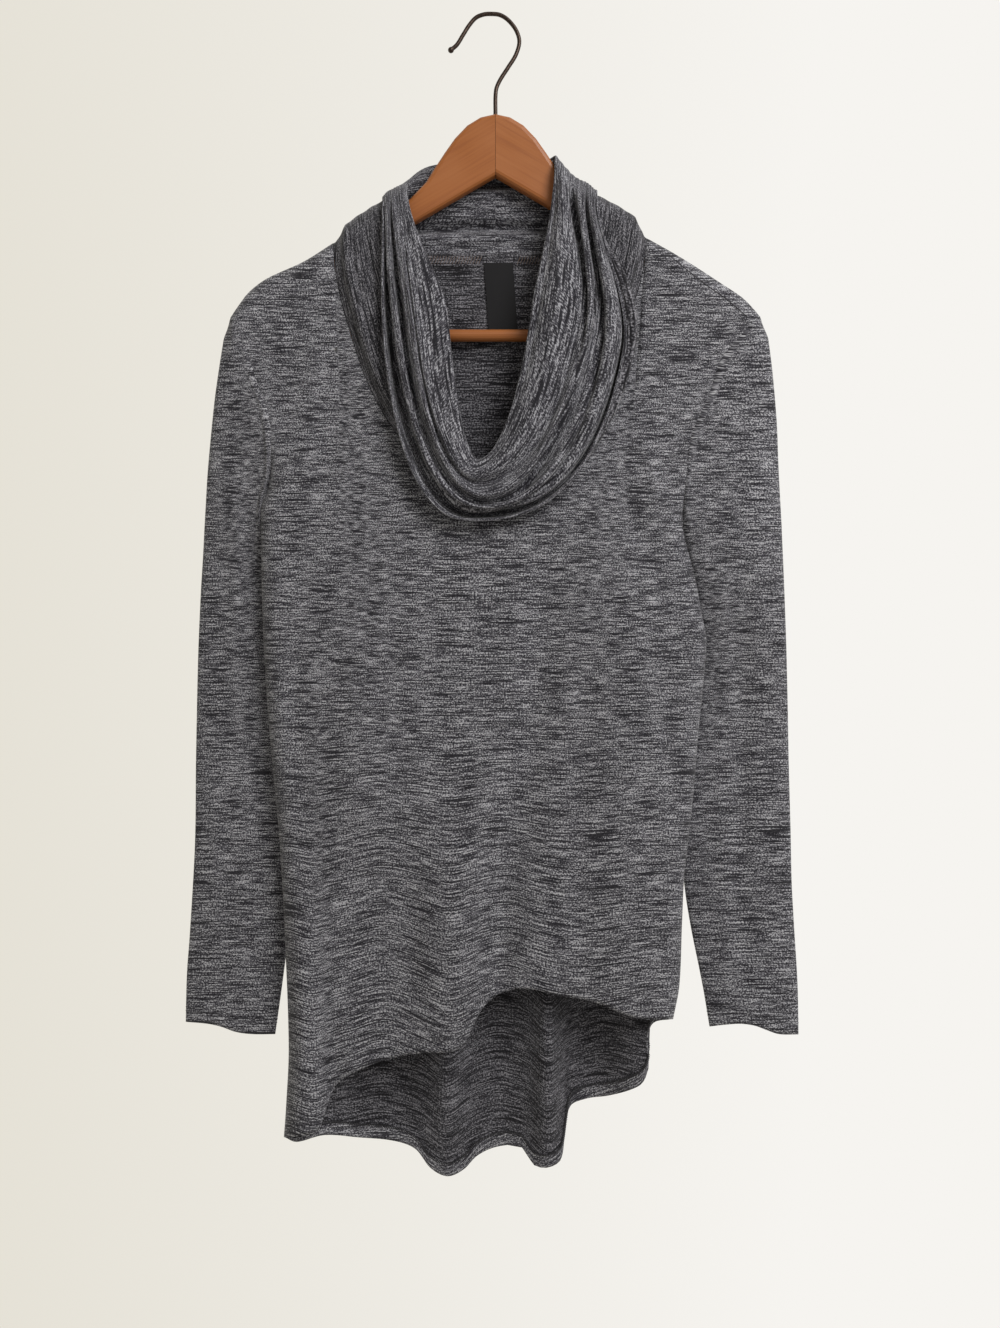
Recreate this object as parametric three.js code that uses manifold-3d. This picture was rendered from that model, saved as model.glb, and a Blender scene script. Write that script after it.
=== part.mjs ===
// Cowl neck tunic of marled stretch knit, hung flat on a wooden clothes hanger.
// Millimetres, +Z up. The front faces -Y and +X is the viewer's right, as are the names left and right.
// The origin is the inside top of the hanger's hook, where a rail or a nail carries it.

import * as THREE from 'three';
import { mergeVertices } from 'three/addons/utils/BufferGeometryUtils.js';
import Module from 'manifold-3d';

// Driving sizes
const CLOTH = 1.5;
const SEAM_GAP = 0.3;
const SEAM_EASE = 0.3;
const EYE = { x: 4, z: -567, away: 1100 };
const SHOULDER_ROUND = 8.8;
const FRONT_EDGE_ROUND = 14;
const BACK_EDGE_ROUND = 8;
const UNDERARM_FADE = 70;
const EDGE_PULL = 14;
const ARM_SLOPE = 0.6;
const SHOULDER_SLANT = 0.85;
const BACK_EDGE_SHARE = 0.26;
const BACK_RISE = { from: 20, wide: 60 };
const COLLAR_HALF = 14;
const COLLAR_BACK_HALF = 6;
const COLLAR_CROWDING = 1.6;
const BACK_SPLIT = 3;
const SHOULDER_STEPS = 5;
const SIDE_STEPS = 12;
const SLEEVE_STEPS = 15;
const SLEEVE_CROWDING = 1.2;
const SLEEVE_FOOT = -900;
const SLEEVE_BLEND = { tip: 20, middle: 120, depth: 100, inmost: 0.3 };
const ARMHOLE_STEPS = [0, 0.012, 0.03, 0.055, 0.1, 0.18, 0.3, 0.45, 0.6, 0.75, 0.88, 0.96, 1];

const HANGER_HALF_THICK = 6.5;
const HANGER_BEVEL = 4.2;
const HANGER_REACH = 400;
const BAR_DIAMETER = 10.5;
const BAR_HEIGHT = -279.7;
const BAR_HALF_LENGTH = 202.7;
const WIRE_DIAMETER = 3.6;
const HOOK_BALL_DIAMETER = 5.2;
const HOOK_SIDES = 8;
const HOOK_STEPS = 40;

// A table is a list of rows with named columns.
const table = (columns, rows) => rows.map((row) => Object.fromEntries(columns.map((c, i) => [c, row[i]])));

// Shoulder seams, from the shoulder tip to the neck, as seen from the front
const LEFT_SHOULDER = table(['x', 'z'], [
  [-231.5, -264.5], [-224.5, -254], [-215.2, -242], [-201, -231], [-188.6, -225], [-166.7, -215],
  [-142, -199.4],
]);
const RIGHT_SHOULDER = table(['x', 'z'], [
  [231.5, -264], [224.4, -255.6], [215.2, -246.5], [196.4, -234], [176.1, -220.7], [155.8, -208.2],
  [132.6, -195.2],
]);

// Armhole seams, from the shoulder tip to the underarm
const LEFT_ARMHOLE = table(['x', 'z'], [
  [-231.5, -264.5], [-224.4, -280], [-218.3, -291], [-207.3, -323.8], [-199.5, -344], [-196.4, -366],
  [-195.8, -397], [-199, -416], [-204.5, -430],
]);
const RIGHT_ARMHOLE = table(['x', 'z'], [
  [231.5, -264], [224.4, -268.4], [218.3, -275.4], [208.7, -286], [198, -298.8], [193.3, -309.8],
  [186.8, -331.6], [170, -371], [166.5, -413], [164.5, -440], [166, -455],
]);

// Side seams, from the underarm to the hem
const LEFT_SIDE = table(['x', 'z'], [
  [-204.5, -430], [-203.5, -515], [-199.7, -593], [-195, -650], [-188.2, -723], [-183.8, -803],
  [-180.3, -902], [-182.6, -954], [-184.5, -981],
]);
const RIGHT_SIDE = table(['x', 'z'], [
  [166, -455], [173, -484], [180, -523], [184, -546], [181.9, -578], [177.2, -625], [172.8, -678],
  [168.4, -719], [164.9, -748], [162.7, -794], [160.4, -848], [154.9, -877.6],
]);

// Hems, from the left side seam to the right one
const FRONT_HEM = table(['x', 'z'], [
  [-184.5, -981], [-166, -979], [-154, -974], [-148, -955], [-140, -936], [-112, -919], [-75, -908.5],
  [-37, -905.6], [-26, -897], [-14, -872], [-2, -859], [12, -852.5], [28.4, -851], [56, -857], [87, -863],
  [117, -875], [135, -878.5], [154.9, -877.6],
]);
const BACK_HEM = table(['x', 'z'], [
  [-184.5, -981], [-174, -985], [-150, -979], [-120, -981], [-89, -984], [-70, -991], [-56, -1008],
  [-42, -1015], [-28, -1009], [-16, -997], [0, -989.5], [20, -988], [28, -995], [34, -1005], [45, -1007.5],
  [56, -1001], [60, -980], [65, -954], [80, -947], [99, -944.5], [118, -939.5], [129, -933], [133.6, -919],
  [132, -898], [138, -881], [154.9, -877.6],
]);

// How far the front and back walls stand from the middle, and where the side seams lie, by height
const DEPTHS = table(['z', 'front', 'back', 'seam'], [
  [-190, 8.8, 8.8, 0], [-265, 8.8, 8.8, 0], [-330, 10, 10, -0.5], [-400, 14, 12, -1.5], [-450, 16, 13, -3],
  [-600, 19, 15, -6], [-800, 20, 16, -7], [-1020, 22, 16, -7],
]);

// Folds of the body: a ridge stands out of the wall and a hollow (negative) sinks into it.
// Each runs from its top to its foot and fades in and out over "fade".
const FRONT_FOLDS = table(['topX', 'topZ', 'footX', 'footZ', 'fade', 'out', 'wide'], [
  [-118, -480, -118, -760, 90, 4.5, 28],
  [-98, -690, -100, -1000, 120, -6, 34],
  [-35, -640, -38, -1000, 160, 7, 26],
  [56, -440, -8, -900, 90, -6, 20],
  [44, -690, 34, -960, 140, 4, 20],
  [122, -430, 110, -960, 120, 5, 34],
  [-168, -720, -168, -1060, 170, 6, 15],
  [-141, -860, -139, -1020, 90, -6, 10],
]);
const BACK_FOLDS = table(['topX', 'topZ', 'footX', 'footZ', 'fade', 'out', 'wide'], [
  [-135, -700, -128, -1100, 200, 5, 24],
  [-86, -640, -84, -1100, 240, 5, 18],
  [-44, -660, -43, -1120, 260, -15, 14],
  [4, -640, 2, -1100, 260, 7, 18],
  [46, -700, 44, -1120, 230, -19, 11],
  [92, -640, 94, -1100, 240, 6, 20],
  [60, -330, 40, -620, 120, 4, 30],
  [-70, -330, -60, -640, 120, 3.5, 30],
]);

// Sleeves: the outer and inner fold lines, the middle plane and the half depth, by height
const LEFT_SLEEVE = table(['z', 'out', 'in', 'mid', 'half'], [
  [-264.5, -231.5, -231, 0, 8.8], [-272, -235, -227.5, 0, 8.8], [-291, -238.5, -219, 0, 8.8],
  [-323.8, -243.5, -208, 1, 8.8], [-344, -246, -200.5, 1.5, 8.8], [-397, -251, -196.8, 3.5, 8.5],
  [-430, -253, -206.6, 6, 8], [-452, -254.2, -208.5, 8, 7.5], [-472, -255.2, -203, 10, 7],
  [-505, -257.2, -189, 11, 7], [-560, -259.5, -183, 11.5, 7], [-650, -261.4, -181, 11.5, 7.5],
  [-723, -262.3, -180, 11, 7.5], [-803, -266.8, -182, 11, 7.5], [-839, -269.4, -186, 11, 7],
  [-893, -270.6, -193.5, 11, 6.5],
]);
const RIGHT_SLEEVE = table(['z', 'out', 'in', 'mid', 'half'], [
  [-264, 231.5, 231, 0, 8.8], [-271, 236, 223, 0, 8.8], [-291, 239.3, 204.5, 0, 8.8],
  [-319, 242.6, 191, 0, 9], [-358, 245.7, 175.5, -1, 9.5], [-397, 247.2, 168, -2, 10.5],
  [-445, 249.8, 167.2, -3, 12], [-455, 250.2, 169, -3, 12], [-484, 251.5, 176.5, -2, 12],
  [-523, 253, 183.6, 1.5, 11.5], [-546, 253.8, 187, 5, 11], [-572, 254.5, 184.6, 8, 10],
  [-610, 255.3, 176, 10.5, 8.5], [-650, 256, 168.5, 11, 8], [-714, 257.7, 163, 11, 7.5],
  [-757, 258.6, 165.5, 11, 7.5], [-794, 260.6, 171, 11, 7], [-848, 263.8, 181.8, 11, 7],
  [-891, 264.6, 189, 11, 6.5],
]);
const LEFT_CUFF = table(['x', 'z'], [
  [-270.6, -880], [-252, -881.7], [-240, -884.4], [-227.5, -888.8], [-213, -890.7], [-193.5, -890.7],
]);
const RIGHT_CUFF = table(['x', 'z'], [
  [189, -884], [201, -882.6], [215.7, -881.7], [228, -883.5], [237, -887], [248, -890.7], [264.6, -891],
]);

// The collar from its neck seam to its free edge, a row for each ridge and hollow. Each row is one loop
// round the neck. topR, topL: where it crosses the hanger's arms. lift: its height over the arm there.
// lowR, lowL: half widths of the front loop. midX, lowZ: its lowest point. bend: 2 is an ellipse, more is
// squarer. topY, sideR, sideL, lowY: depth in front of the middle at the shoulder, at each side and at the
// bottom. backZ, backY: its place behind the neck.
const COLLAR = table([
  'topR', 'liftR', 'lowR', 'topL', 'liftL', 'lowL', 'midX', 'lowZ', 'bend', 'topY', 'sideR', 'sideL',
  'lowY', 'backZ', 'backY',
], [
  [132.3, 9, 124, 141.7, 8, 130, -5, -412, 2.0, 8.8, 12, 12, 16, -213.4, 8.8],
  [117, 12, 113, 128, 10, 118, -6, -405, 2.0, 13, 16, 16, 20, -196, 9.4],
  [88, 7, 85, 104, 9, 84, -10, -398, 2.0, 12, 19, 19, 23.5, -168, 9.8],
  [66, 6, 63, 84, 7, 44, -14, -391, 1.9, 12, 22, 21, 26, -142, 11],
  [53, 9, 57, 78, 13, 30, -16, -389, 1.9, 15, 27, 26, 31, -130, 16],
  [59, 15, 81, 84, 19, 54, -19, -401, 2.0, 21, 34, 33, 38, -133, 22],
  [68, 14, 101, 90, 20, 62, -15, -409, 2.0, 17, 28, 32, 33, -148, 24],
  [78, 17, 104, 97, 21, 72, -12, -418, 2.0, 22, 35, 31, 40, -168, 25],
  [87, 12, 106, 103, 17, 82, -9, -424, 2.1, 18, 29, 29, 35, -186, 24.5],
  [95, 14, 117, 109, 18, 92, -8, -429, 2.2, 21, 34, 32, 39, -203, 26],
  [103, 11, 131, 116, 13, 96, -10, -435, 2.4, 18, 27, 27, 33, -219, 25],
  [108, 12, 140, 121, 13, 92, -18, -441, 2.5, 18.5, 27, 28, 32, -232, 26],
]);

// The hanger's half outline: its top line and its lower line
const HANGER_TOP = table(['x', 'z'], [
  [0, -87.2], [13, -90.1], [24.8, -97.3], [35.6, -108.6], [44.3, -120.9], [52.9, -134], [60.5, -146.5],
  [74.8, -161.5], [100, -179], [132, -200], [156, -213.6], [176, -226], [196.4, -239.6], [210, -250],
  [217, -258], [219, -268],
]);
const HANGER_END = table(['x', 'z'], [[219, -291], [203, -291], [203, -268]]);
const HANGER_APEX = -140.9;
const HANGER_UNDER_SLOPE = -0.585;
const HANGER_UNDER_END = 190;

// The hook's wire, from its tip over the crown to the wood
const HOOK = table(['x', 'z'], [
  [-38.9, -29.8], [-33.7, -25.2], [-28.5, -16.9], [-22.7, -7.8], [-17, -1.5], [-10.3, 1.3], [-3.5, 1.8],
  [3.9, 0.9], [10.9, -3.4], [17.9, -12.2], [20.9, -22.3], [17.9, -33.9], [10.8, -45.5], [3.5, -57.1],
  [0.4, -65.6], [0, -86.9],
]);

// Label: its corners on the inside of the back
const LABEL = { left: -10, right: 15.3, lean: 4.5, top: -216, foot: -281, thick: 0.8, steps: 6 };

// Colours read from the object
const KNIT = new THREE.MeshStandardMaterial({ color: 0x55585b, roughness: 0.95, metalness: 0 });
const LABEL_CLOTH = new THREE.MeshStandardMaterial({ color: 0x141416, roughness: 0.7, metalness: 0 });
const WOOD = new THREE.MeshStandardMaterial({ color: 0xa0582c, roughness: 0.45, metalness: 0 });
const DARK_WIRE = new THREE.MeshStandardMaterial({ color: 0x2b2622, roughness: 0.4, metalness: 0.9 });

const clamp = (value, low = 0, high = 1) => Math.min(high, Math.max(low, value));
const mix = (a, b, t) => a + (b - a) * t;
const smooth = (t) => clamp(t) ** 2 * (3 - 2 * clamp(t));
const quarterRound = (t) => Math.sqrt(1 - (1 - clamp(t)) ** 2);

// A smooth line through a table's column, as a function of another column.
function lineOf(rows, key, value) {
  const sorted = [...rows].sort((a, b) => a[key] - b[key]);
  const k = sorted.map((row) => row[key]);
  const v = sorted.map((row) => row[value]);
  const last = k.length - 1;
  const slope = k.map((_, i) => {
    const a = Math.max(i - 1, 0);
    const b = Math.min(i + 1, last);
    return (v[b] - v[a]) / (k[b] - k[a]);
  });
  return (at) => {
    const x = clamp(at, k[0], k[last]);
    let i = 0;
    while (i < last - 1 && x > k[i + 1]) i += 1;
    const span = k[i + 1] - k[i];
    const t = (x - k[i]) / span;
    const rise = v[i + 1] - v[i];
    const c = slope[i] * span - rise;
    const d = -slope[i + 1] * span + rise;
    return mix(v[i], v[i + 1], t) + t * (1 - t) * (c * (1 - t) + d * t);
  };
}

// A smooth curve through x, z rows, as a function of the share of its length.
function curveOf(rows) {
  let run = 0;
  const marked = rows.map((row, i) => {
    if (i > 0) run += Math.hypot(row.x - rows[i - 1].x, row.z - rows[i - 1].z);
    return { ...row, run };
  });
  const x = lineOf(marked, 'run', 'x');
  const z = lineOf(marked, 'run', 'z');
  return (share) => ({ x: x(share * run), z: z(share * run) });
}

// A point seen at x, z in the plane y = 0 from the eye, put at its real depth y.
function place(x, y, z) {
  const nearer = (EYE.away + y) / EYE.away;
  return new THREE.Vector3(EYE.x + (x - EYE.x) * nearer, y, EYE.z + (z - EYE.z) * nearer);
}

const hangerTop = lineOf(HANGER_TOP, 'x', 'z');
const leftRidge = lineOf(LEFT_SHOULDER, 'x', 'z');
const rightRidge = lineOf(RIGHT_SHOULDER, 'x', 'z');
const leftEdge = lineOf([...LEFT_ARMHOLE, ...LEFT_SIDE.slice(1)], 'z', 'x');
const rightEdge = lineOf([...RIGHT_ARMHOLE, ...RIGHT_SIDE.slice(1)], 'z', 'x');
const frontDepth = lineOf(DEPTHS, 'z', 'front');
const backDepth = lineOf(DEPTHS, 'z', 'back');
const seamDepth = lineOf(DEPTHS, 'z', 'seam');
const LEFT_UNDERARM = LEFT_SIDE[0].z;
const RIGHT_UNDERARM = RIGHT_SIDE[0].z;

// Height of the shoulder's ridge over x; inside the neck it goes on up with the hanger's arm.
function ridge(x) {
  const line = x < 0 ? leftRidge : rightRidge;
  const neck = x < 0 ? LEFT_SHOULDER.at(-1) : RIGHT_SHOULDER.at(-1);
  const inner = Math.max(0, Math.abs(neck.x) - Math.abs(x));
  return line(x) + inner * ARM_SLOPE;
}

// How far the folds of a table stand out at x, z.
function foldsAt(rows, x, z) {
  let out = 0;
  for (const fold of rows) {
    const along = (fold.topZ - z) / (fold.topZ - fold.footZ);
    const middle = mix(fold.topX, fold.footX, clamp(along));
    const fade = smooth((fold.topZ - z) / fold.fade) * smooth((z - fold.footZ) / fold.fade);
    out += fold.out * fade * Math.exp(-(((x - middle) / fold.wide) ** 2));
  }
  return out;
}

// How far the body's edge rounding applies: not at all on the chest, fully below the underarm.
const edgeWeight = (z, underarm) => smooth(1 - (z - underarm) / UNDERARM_FADE);

// The depth left by the rounding over the hanger: none on the shoulder's ridge, all of it a little lower.
const shoulderRound = (x, z) => quarterRound(((ridge(x) - z) * SHOULDER_SLANT) / SHOULDER_ROUND);

function frontY(x, z) {
  const wall = -frontDepth(z) - foldsAt(FRONT_FOLDS, x, z);
  const seam = seamDepth(z);
  const left = mix(1, quarterRound((x - leftEdge(z)) / FRONT_EDGE_ROUND), edgeWeight(z, LEFT_UNDERARM));
  const right = mix(1, quarterRound((rightEdge(z) - x) / FRONT_EDGE_ROUND), edgeWeight(z, RIGHT_UNDERARM));
  return mix(seam, wall, left * right) * shoulderRound(x, z);
}

// How far the back has come out from the seam at a distance from its edge: a quick start, then a slow rise.
function backRise(edge) {
  const start = quarterRound(edge / BACK_EDGE_ROUND);
  return mix(smooth((edge - BACK_RISE.from) / BACK_RISE.wide), start, BACK_EDGE_SHARE);
}

function backY(x, z) {
  const wall = backDepth(z) + foldsAt(BACK_FOLDS, x, z);
  const seam = seamDepth(z);
  const left = mix(1, backRise(x - leftEdge(z)), edgeWeight(z, LEFT_UNDERARM));
  const right = mix(1, backRise(rightEdge(z) - x), edgeWeight(z, RIGHT_UNDERARM));
  return mix(seam, wall, left * right) * shoulderRound(x, z);
}

// The collar's columns as smooth lines over its rows.
const collarLines = Object.fromEntries(Object.keys(COLLAR[0]).map((name) => {
  const rows = COLLAR.map((row, i) => ({ ...row, i }));
  return [name, lineOf(rows, 'i', name)];
}));

// A point of one loop of the collar. "turn" runs 0 to 4: front bottom, right shoulder, back, left shoulder
// and front bottom again.
function collarPoint(row, turn, shrink = 0) {
  const at = (name) => collarLines[name](row);
  const right = turn <= 2;
  const side = right ? 1 : -1;
  const top = (right ? at('topR') : at('topL')) - shrink;
  const lift = right ? at('liftR') : at('liftL');
  const low = (right ? at('lowR') : at('lowL')) - shrink;
  const onRidge = right ? RIGHT_SHOULDER.at(-1).z : LEFT_SHOULDER.at(-1).z;
  const crest = mix(onRidge, hangerTop(top) + lift, clamp(row));
  const fromBottom = right ? turn : 4 - turn;
  if (fromBottom <= 1) {
    const angle = (Math.PI / 2) * (1 - (1 - fromBottom) ** COLLAR_CROWDING);
    const down = Math.cos(angle);
    const bend = at('bend');
    const across = (1 - down ** bend) ** (1 / bend);
    const width = mix(top, low, smooth(down / 0.5));
    const x = at('midX') * smooth(down / 0.5) + side * width * across;
    const z = crest + (at('lowZ') + shrink - crest) * down;
    const arch = at('topY') * quarterRound((crest - z) / at('topY'));
    const sideY = right ? at('sideR') : at('sideL');
    const toSide = (sideY - at('topY')) * smooth(down / 0.5);
    const toLow = (at('lowY') - sideY) * smooth((down - 0.5) / 0.5);
    return { x, y: -(arch + toSide + toLow), z };
  }
  const round = (Math.PI / 2) * (fromBottom - 1);
  const x = side * top * Math.cos(round) ** 0.5;
  const z = mix(crest, at('backZ') + shrink, smooth(Math.sin(round) ** 1.5));
  return { x, y: at('backY') * Math.sin(round) ** 0.5, z };
}

// The turns at which the collar's loops and both necklines have their points.
function turns() {
  const list = [];
  for (let i = 0; i < COLLAR_HALF; i += 1) list.push(i / COLLAR_HALF);
  for (let i = 0; i < 2 * COLLAR_BACK_HALF; i += 1) list.push(1 + i / COLLAR_BACK_HALF);
  for (let i = 0; i < COLLAR_HALF; i += 1) list.push(3 + i / COLLAR_HALF);
  return list;
}

// A closed wall of even thickness about a grid of points. The grid's normal side is its outside. "facing" may
// give the outward direction at a point of a seam, where two pieces meet back to back.
function wall(grid, loop, thick = CLOTH, facing = () => null) {
  const rows = grid.length;
  const cols = grid[0].length;
  const column = (c) => (loop ? (c + cols) % cols : clamp(c, 0, cols - 1));
  const positions = [];
  const sides = [thick / 2, -thick / 2];
  for (const offset of sides) {
    for (let r = 0; r < rows; r += 1) {
      for (let c = 0; c < cols; c += 1) {
        const above = grid[Math.max(r - 1, 0)][c];
        const below = grid[Math.min(r + 1, rows - 1)][c];
        const down = new THREE.Vector3().subVectors(below, above);
        const across = new THREE.Vector3().subVectors(grid[r][column(c + 1)], grid[r][column(c - 1)]);
        const normal = facing(r, c) ?? new THREE.Vector3().crossVectors(down, across).normalize();
        const point = grid[r][c].clone().addScaledVector(normal, offset);
        positions.push(point.x, point.y, point.z);
      }
    }
  }
  const index = (side, r, c) => side * rows * cols + r * cols + (loop ? c % cols : c);
  const faces = [];
  const quad = (a, b, c, d) => faces.push(a, b, c, a, c, d);
  const lastCol = loop ? cols : cols - 1;
  for (let r = 0; r < rows - 1; r += 1) {
    for (let c = 0; c < lastCol; c += 1) {
      quad(index(0, r, c), index(0, r + 1, c), index(0, r + 1, c + 1), index(0, r, c + 1));
      quad(index(1, r, c), index(1, r, c + 1), index(1, r + 1, c + 1), index(1, r + 1, c));
    }
  }
  const end = rows - 1;
  for (let c = 0; c < lastCol; c += 1) {
    quad(index(0, 0, c), index(0, 0, c + 1), index(1, 0, c + 1), index(1, 0, c));
    quad(index(0, end, c + 1), index(0, end, c), index(1, end, c), index(1, end, c + 1));
  }
  if (!loop) {
    for (let r = 0; r < rows - 1; r += 1) {
      quad(index(0, r + 1, 0), index(0, r, 0), index(1, r, 0), index(1, r + 1, 0));
      quad(index(0, r, lastCol), index(0, r + 1, lastCol), index(1, r + 1, lastCol), index(1, r, lastCol));
    }
  }
  const geometry = new THREE.BufferGeometry();
  geometry.setAttribute('position', new THREE.Float32BufferAttribute(positions, 3));
  geometry.setIndex(faces);
  geometry.computeVertexNormals();
  return geometry;
}

// The left or right edge of a body panel: the armhole, then the side seam.
function panelEdge(armhole, side) {
  const armholeAt = curveOf(armhole);
  const sideAt = curveOf(side);
  const points = ARMHOLE_STEPS.map(armholeAt);
  for (let i = 1; i <= SIDE_STEPS; i += 1) points.push(sideAt(i / SIDE_STEPS));
  return points;
}

// The top edge of a body panel: shoulder, neckline, shoulder. The neckline repeats the collar's seam.
function panelTop(neckTurns, split) {
  const leftAt = curveOf(LEFT_SHOULDER);
  const rightAt = curveOf(RIGHT_SHOULDER);
  const points = [];
  for (let i = 0; i < SHOULDER_STEPS; i += 1) points.push(leftAt(i / SHOULDER_STEPS));
  neckTurns.forEach((turn, i) => {
    const here = collarPoint(0, turn, -SEAM_GAP);
    points.push(here);
    if (i === neckTurns.length - 1) return;
    const next = collarPoint(0, neckTurns[i + 1], -SEAM_GAP);
    for (let s = 1; s < split; s += 1) {
      points.push({ x: mix(here.x, next.x, s / split), z: mix(here.z, next.z, s / split) });
    }
  });
  for (let i = SHOULDER_STEPS - 1; i >= 0; i -= 1) points.push(rightAt(i / SHOULDER_STEPS));
  return points;
}

// A body panel filled in between its four edges, then set at the wall's depth.
function panelGrid(top, hemAt, depthAt, gap) {
  const left = panelEdge(LEFT_ARMHOLE, LEFT_SIDE);
  const right = panelEdge(RIGHT_ARMHOLE, RIGHT_SIDE);
  const runs = (points) => {
    let run = 0;
    const list = points.map((p, i) => {
      if (i > 0) run += Math.hypot(p.x - points[i - 1].x, p.z - points[i - 1].z);
      return run;
    });
    return list.map((value) => value / run);
  };
  const leftRuns = runs(left);
  const rightRuns = runs(right);
  const last = left.length - 1;
  const blend = (a, b, t) => ({ x: mix(a.x, b.x, t), z: mix(a.z, b.z, t) });
  return left.map((_, r) => top.map((topPoint, c) => {
    const u = mix(c / (top.length - 1), (topPoint.x - top[0].x) / (top.at(-1).x - top[0].x), 0.5);
    const v = mix(leftRuns[r], rightRuns[r], u);
    const middle = blend(topPoint, hemAt(u), v);
    const leftOff = blend(left[0], left[last], leftRuns[r]);
    const rightOff = blend(right[0], right[last], rightRuns[r]);
    const byLeft = (1 - u) ** EDGE_PULL;
    const byRight = u ** EDGE_PULL;
    const x = middle.x + byLeft * (left[r].x - leftOff.x) + byRight * (right[r].x - rightOff.x);
    const z = middle.z + byLeft * (left[r].z - leftOff.z) + byRight * (right[r].z - rightOff.z);
    return place(x, depthAt(x, z) + gap, z);
  }));
}

// Outward directions along the seams that both body panels share: the shoulders and the sides.
function panelFacing(cols, flip) {
  return (r, c) => {
    const column = flip ? cols - 1 - c : c;
    const side = column < cols / 2 ? -1 : 1;
    const fromEnd = Math.min(column, cols - 1 - column);
    const below = r >= ARMHOLE_STEPS.length - 1;
    if (fromEnd === 0 && below) return new THREE.Vector3(side, 0, 0);
    if (r === 0 && fromEnd <= SHOULDER_STEPS) return new THREE.Vector3(side * 0.5, 0, 1).normalize();
    return null;
  };
}

function frontPanel() {
  const neck = turns().filter((turn) => turn >= 3).concat(turns().filter((turn) => turn <= 1));
  const top = panelTop(neck, 1);
  const hemZ = lineOf(FRONT_HEM, 'x', 'z');
  const hemAt = (u) => {
    const x = mix(FRONT_HEM[0].x, FRONT_HEM.at(-1).x, u);
    return { x, z: hemZ(x) };
  };
  return wall(panelGrid(top, hemAt, frontY, -SEAM_GAP / 2), false, CLOTH, panelFacing(top.length, false));
}

function backPanel() {
  const neck = turns().filter((turn) => turn >= 1 && turn <= 3).reverse();
  const top = panelTop(neck, BACK_SPLIT);
  const grid = panelGrid(top, curveOf(BACK_HEM), backY, SEAM_GAP / 2);
  return wall(grid.map((row) => row.reverse()), false, CLOTH, panelFacing(top.length, true));
}

// A sleeve: loops that start at the armhole seam and end at the cuff.
function sleeve(armhole, rows, cuff, side) {
  const armholeAt = curveOf(armhole);
  const column = (name) => lineOf(rows, 'z', name);
  const out = column('out');
  const inner = column('in');
  const mid = column('mid');
  const half = column('half');
  const cuffZ = lineOf(cuff, 'x', 'z');
  const count = ARMHOLE_STEPS.length - 1;
  const frontSteps = ARMHOLE_STEPS.map((share, i) => ({ share, turn: (Math.PI * i) / count, face: -1 }));
  const backSteps = frontSteps.slice(1, -1).reverse().map((step) => ({ ...step, face: 1 }));
  const stations = [...frontSteps, ...backSteps];
  const grid = [];
  for (let r = 0; r <= SLEEVE_STEPS; r += 1) {
    const share = (r / SLEEVE_STEPS) ** SLEEVE_CROWDING;
    grid.push(stations.map((step) => {
      const start = armholeAt(step.share);
      const toInner = (1 - Math.cos(step.turn)) / 2;
      const atTip = 2 * SEAM_EASE * (1 - smooth(step.share / 0.06));
      const clear = SEAM_GAP + SEAM_EASE;
      const away = atTip + mix(clear, clear + CLOTH + SEAM_EASE, smooth((step.share - 0.45) / 0.4));
      const startX = start.x + side * away;
      const cuffX = mix(out(SLEEVE_FOOT), inner(SLEEVE_FOOT), toInner);
      const z = mix(start.z, cuffZ(cuffX), share);
      const drop = start.z - z;
      const target = mix(out(z), inner(z), toInner);
      const blendOver = SLEEVE_BLEND.tip + SLEEVE_BLEND.middle * Math.sin(step.turn);
      const eased = mix(startX, target, smooth(drop / blendOver));
      const inmost = mix(inner(z), target, SLEEVE_BLEND.inmost);
      const x = r > 0 ? side * Math.max(side * eased, side * inmost) : startX;
      const bodyY = step.face < 0 ? frontY(start.x, start.z) : backY(start.x, start.z);
      const tubeY = mid(z) + step.face * half(z) * Math.sin(step.turn) ** 0.75;
      return place(x, mix(bodyY, tubeY, smooth(drop / SLEEVE_BLEND.depth)), z);
    }));
  }
  const facing = side < 0 ? grid : grid.map((row) => row.reverse());
  return wall(facing, true);
}

// The collar: a wall through every loop of its table, with one more loop between the wide ones.
function collar() {
  const rows = [];
  COLLAR.forEach((_, i) => {
    rows.push(i);
    if (i < 3) rows.push(i + 0.5);
  });
  const grid = rows.map((row) => turns().map((turn) => {
    const point = collarPoint(row, turn, row === 0 ? SEAM_EASE : 0);
    const bodyY = point.y > 0 ? backY(point.x, point.z) : frontY(point.x, point.z);
    return place(point.x, mix(bodyY, point.y, smooth(row)), point.z);
  }));
  return wall(grid, true);
}

// The neck label: a strip that repeats the back's points, moved in to lie on its inside.
function label() {
  const inward = CLOTH / 2 + SEAM_GAP + LABEL.thick / 2;
  const grid = [];
  for (let r = 0; r <= LABEL.steps; r += 1) {
    const share = r / LABEL.steps;
    const z = mix(LABEL.top, LABEL.foot, share);
    grid.push([0, 0.5, 1].map((u) => {
      const x = mix(LABEL.left, LABEL.right, u) + LABEL.lean * share;
      return place(x, backY(x, z) - inward, z);
    }));
  }
  return wall(grid, false, LABEL.thick);
}

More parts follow.
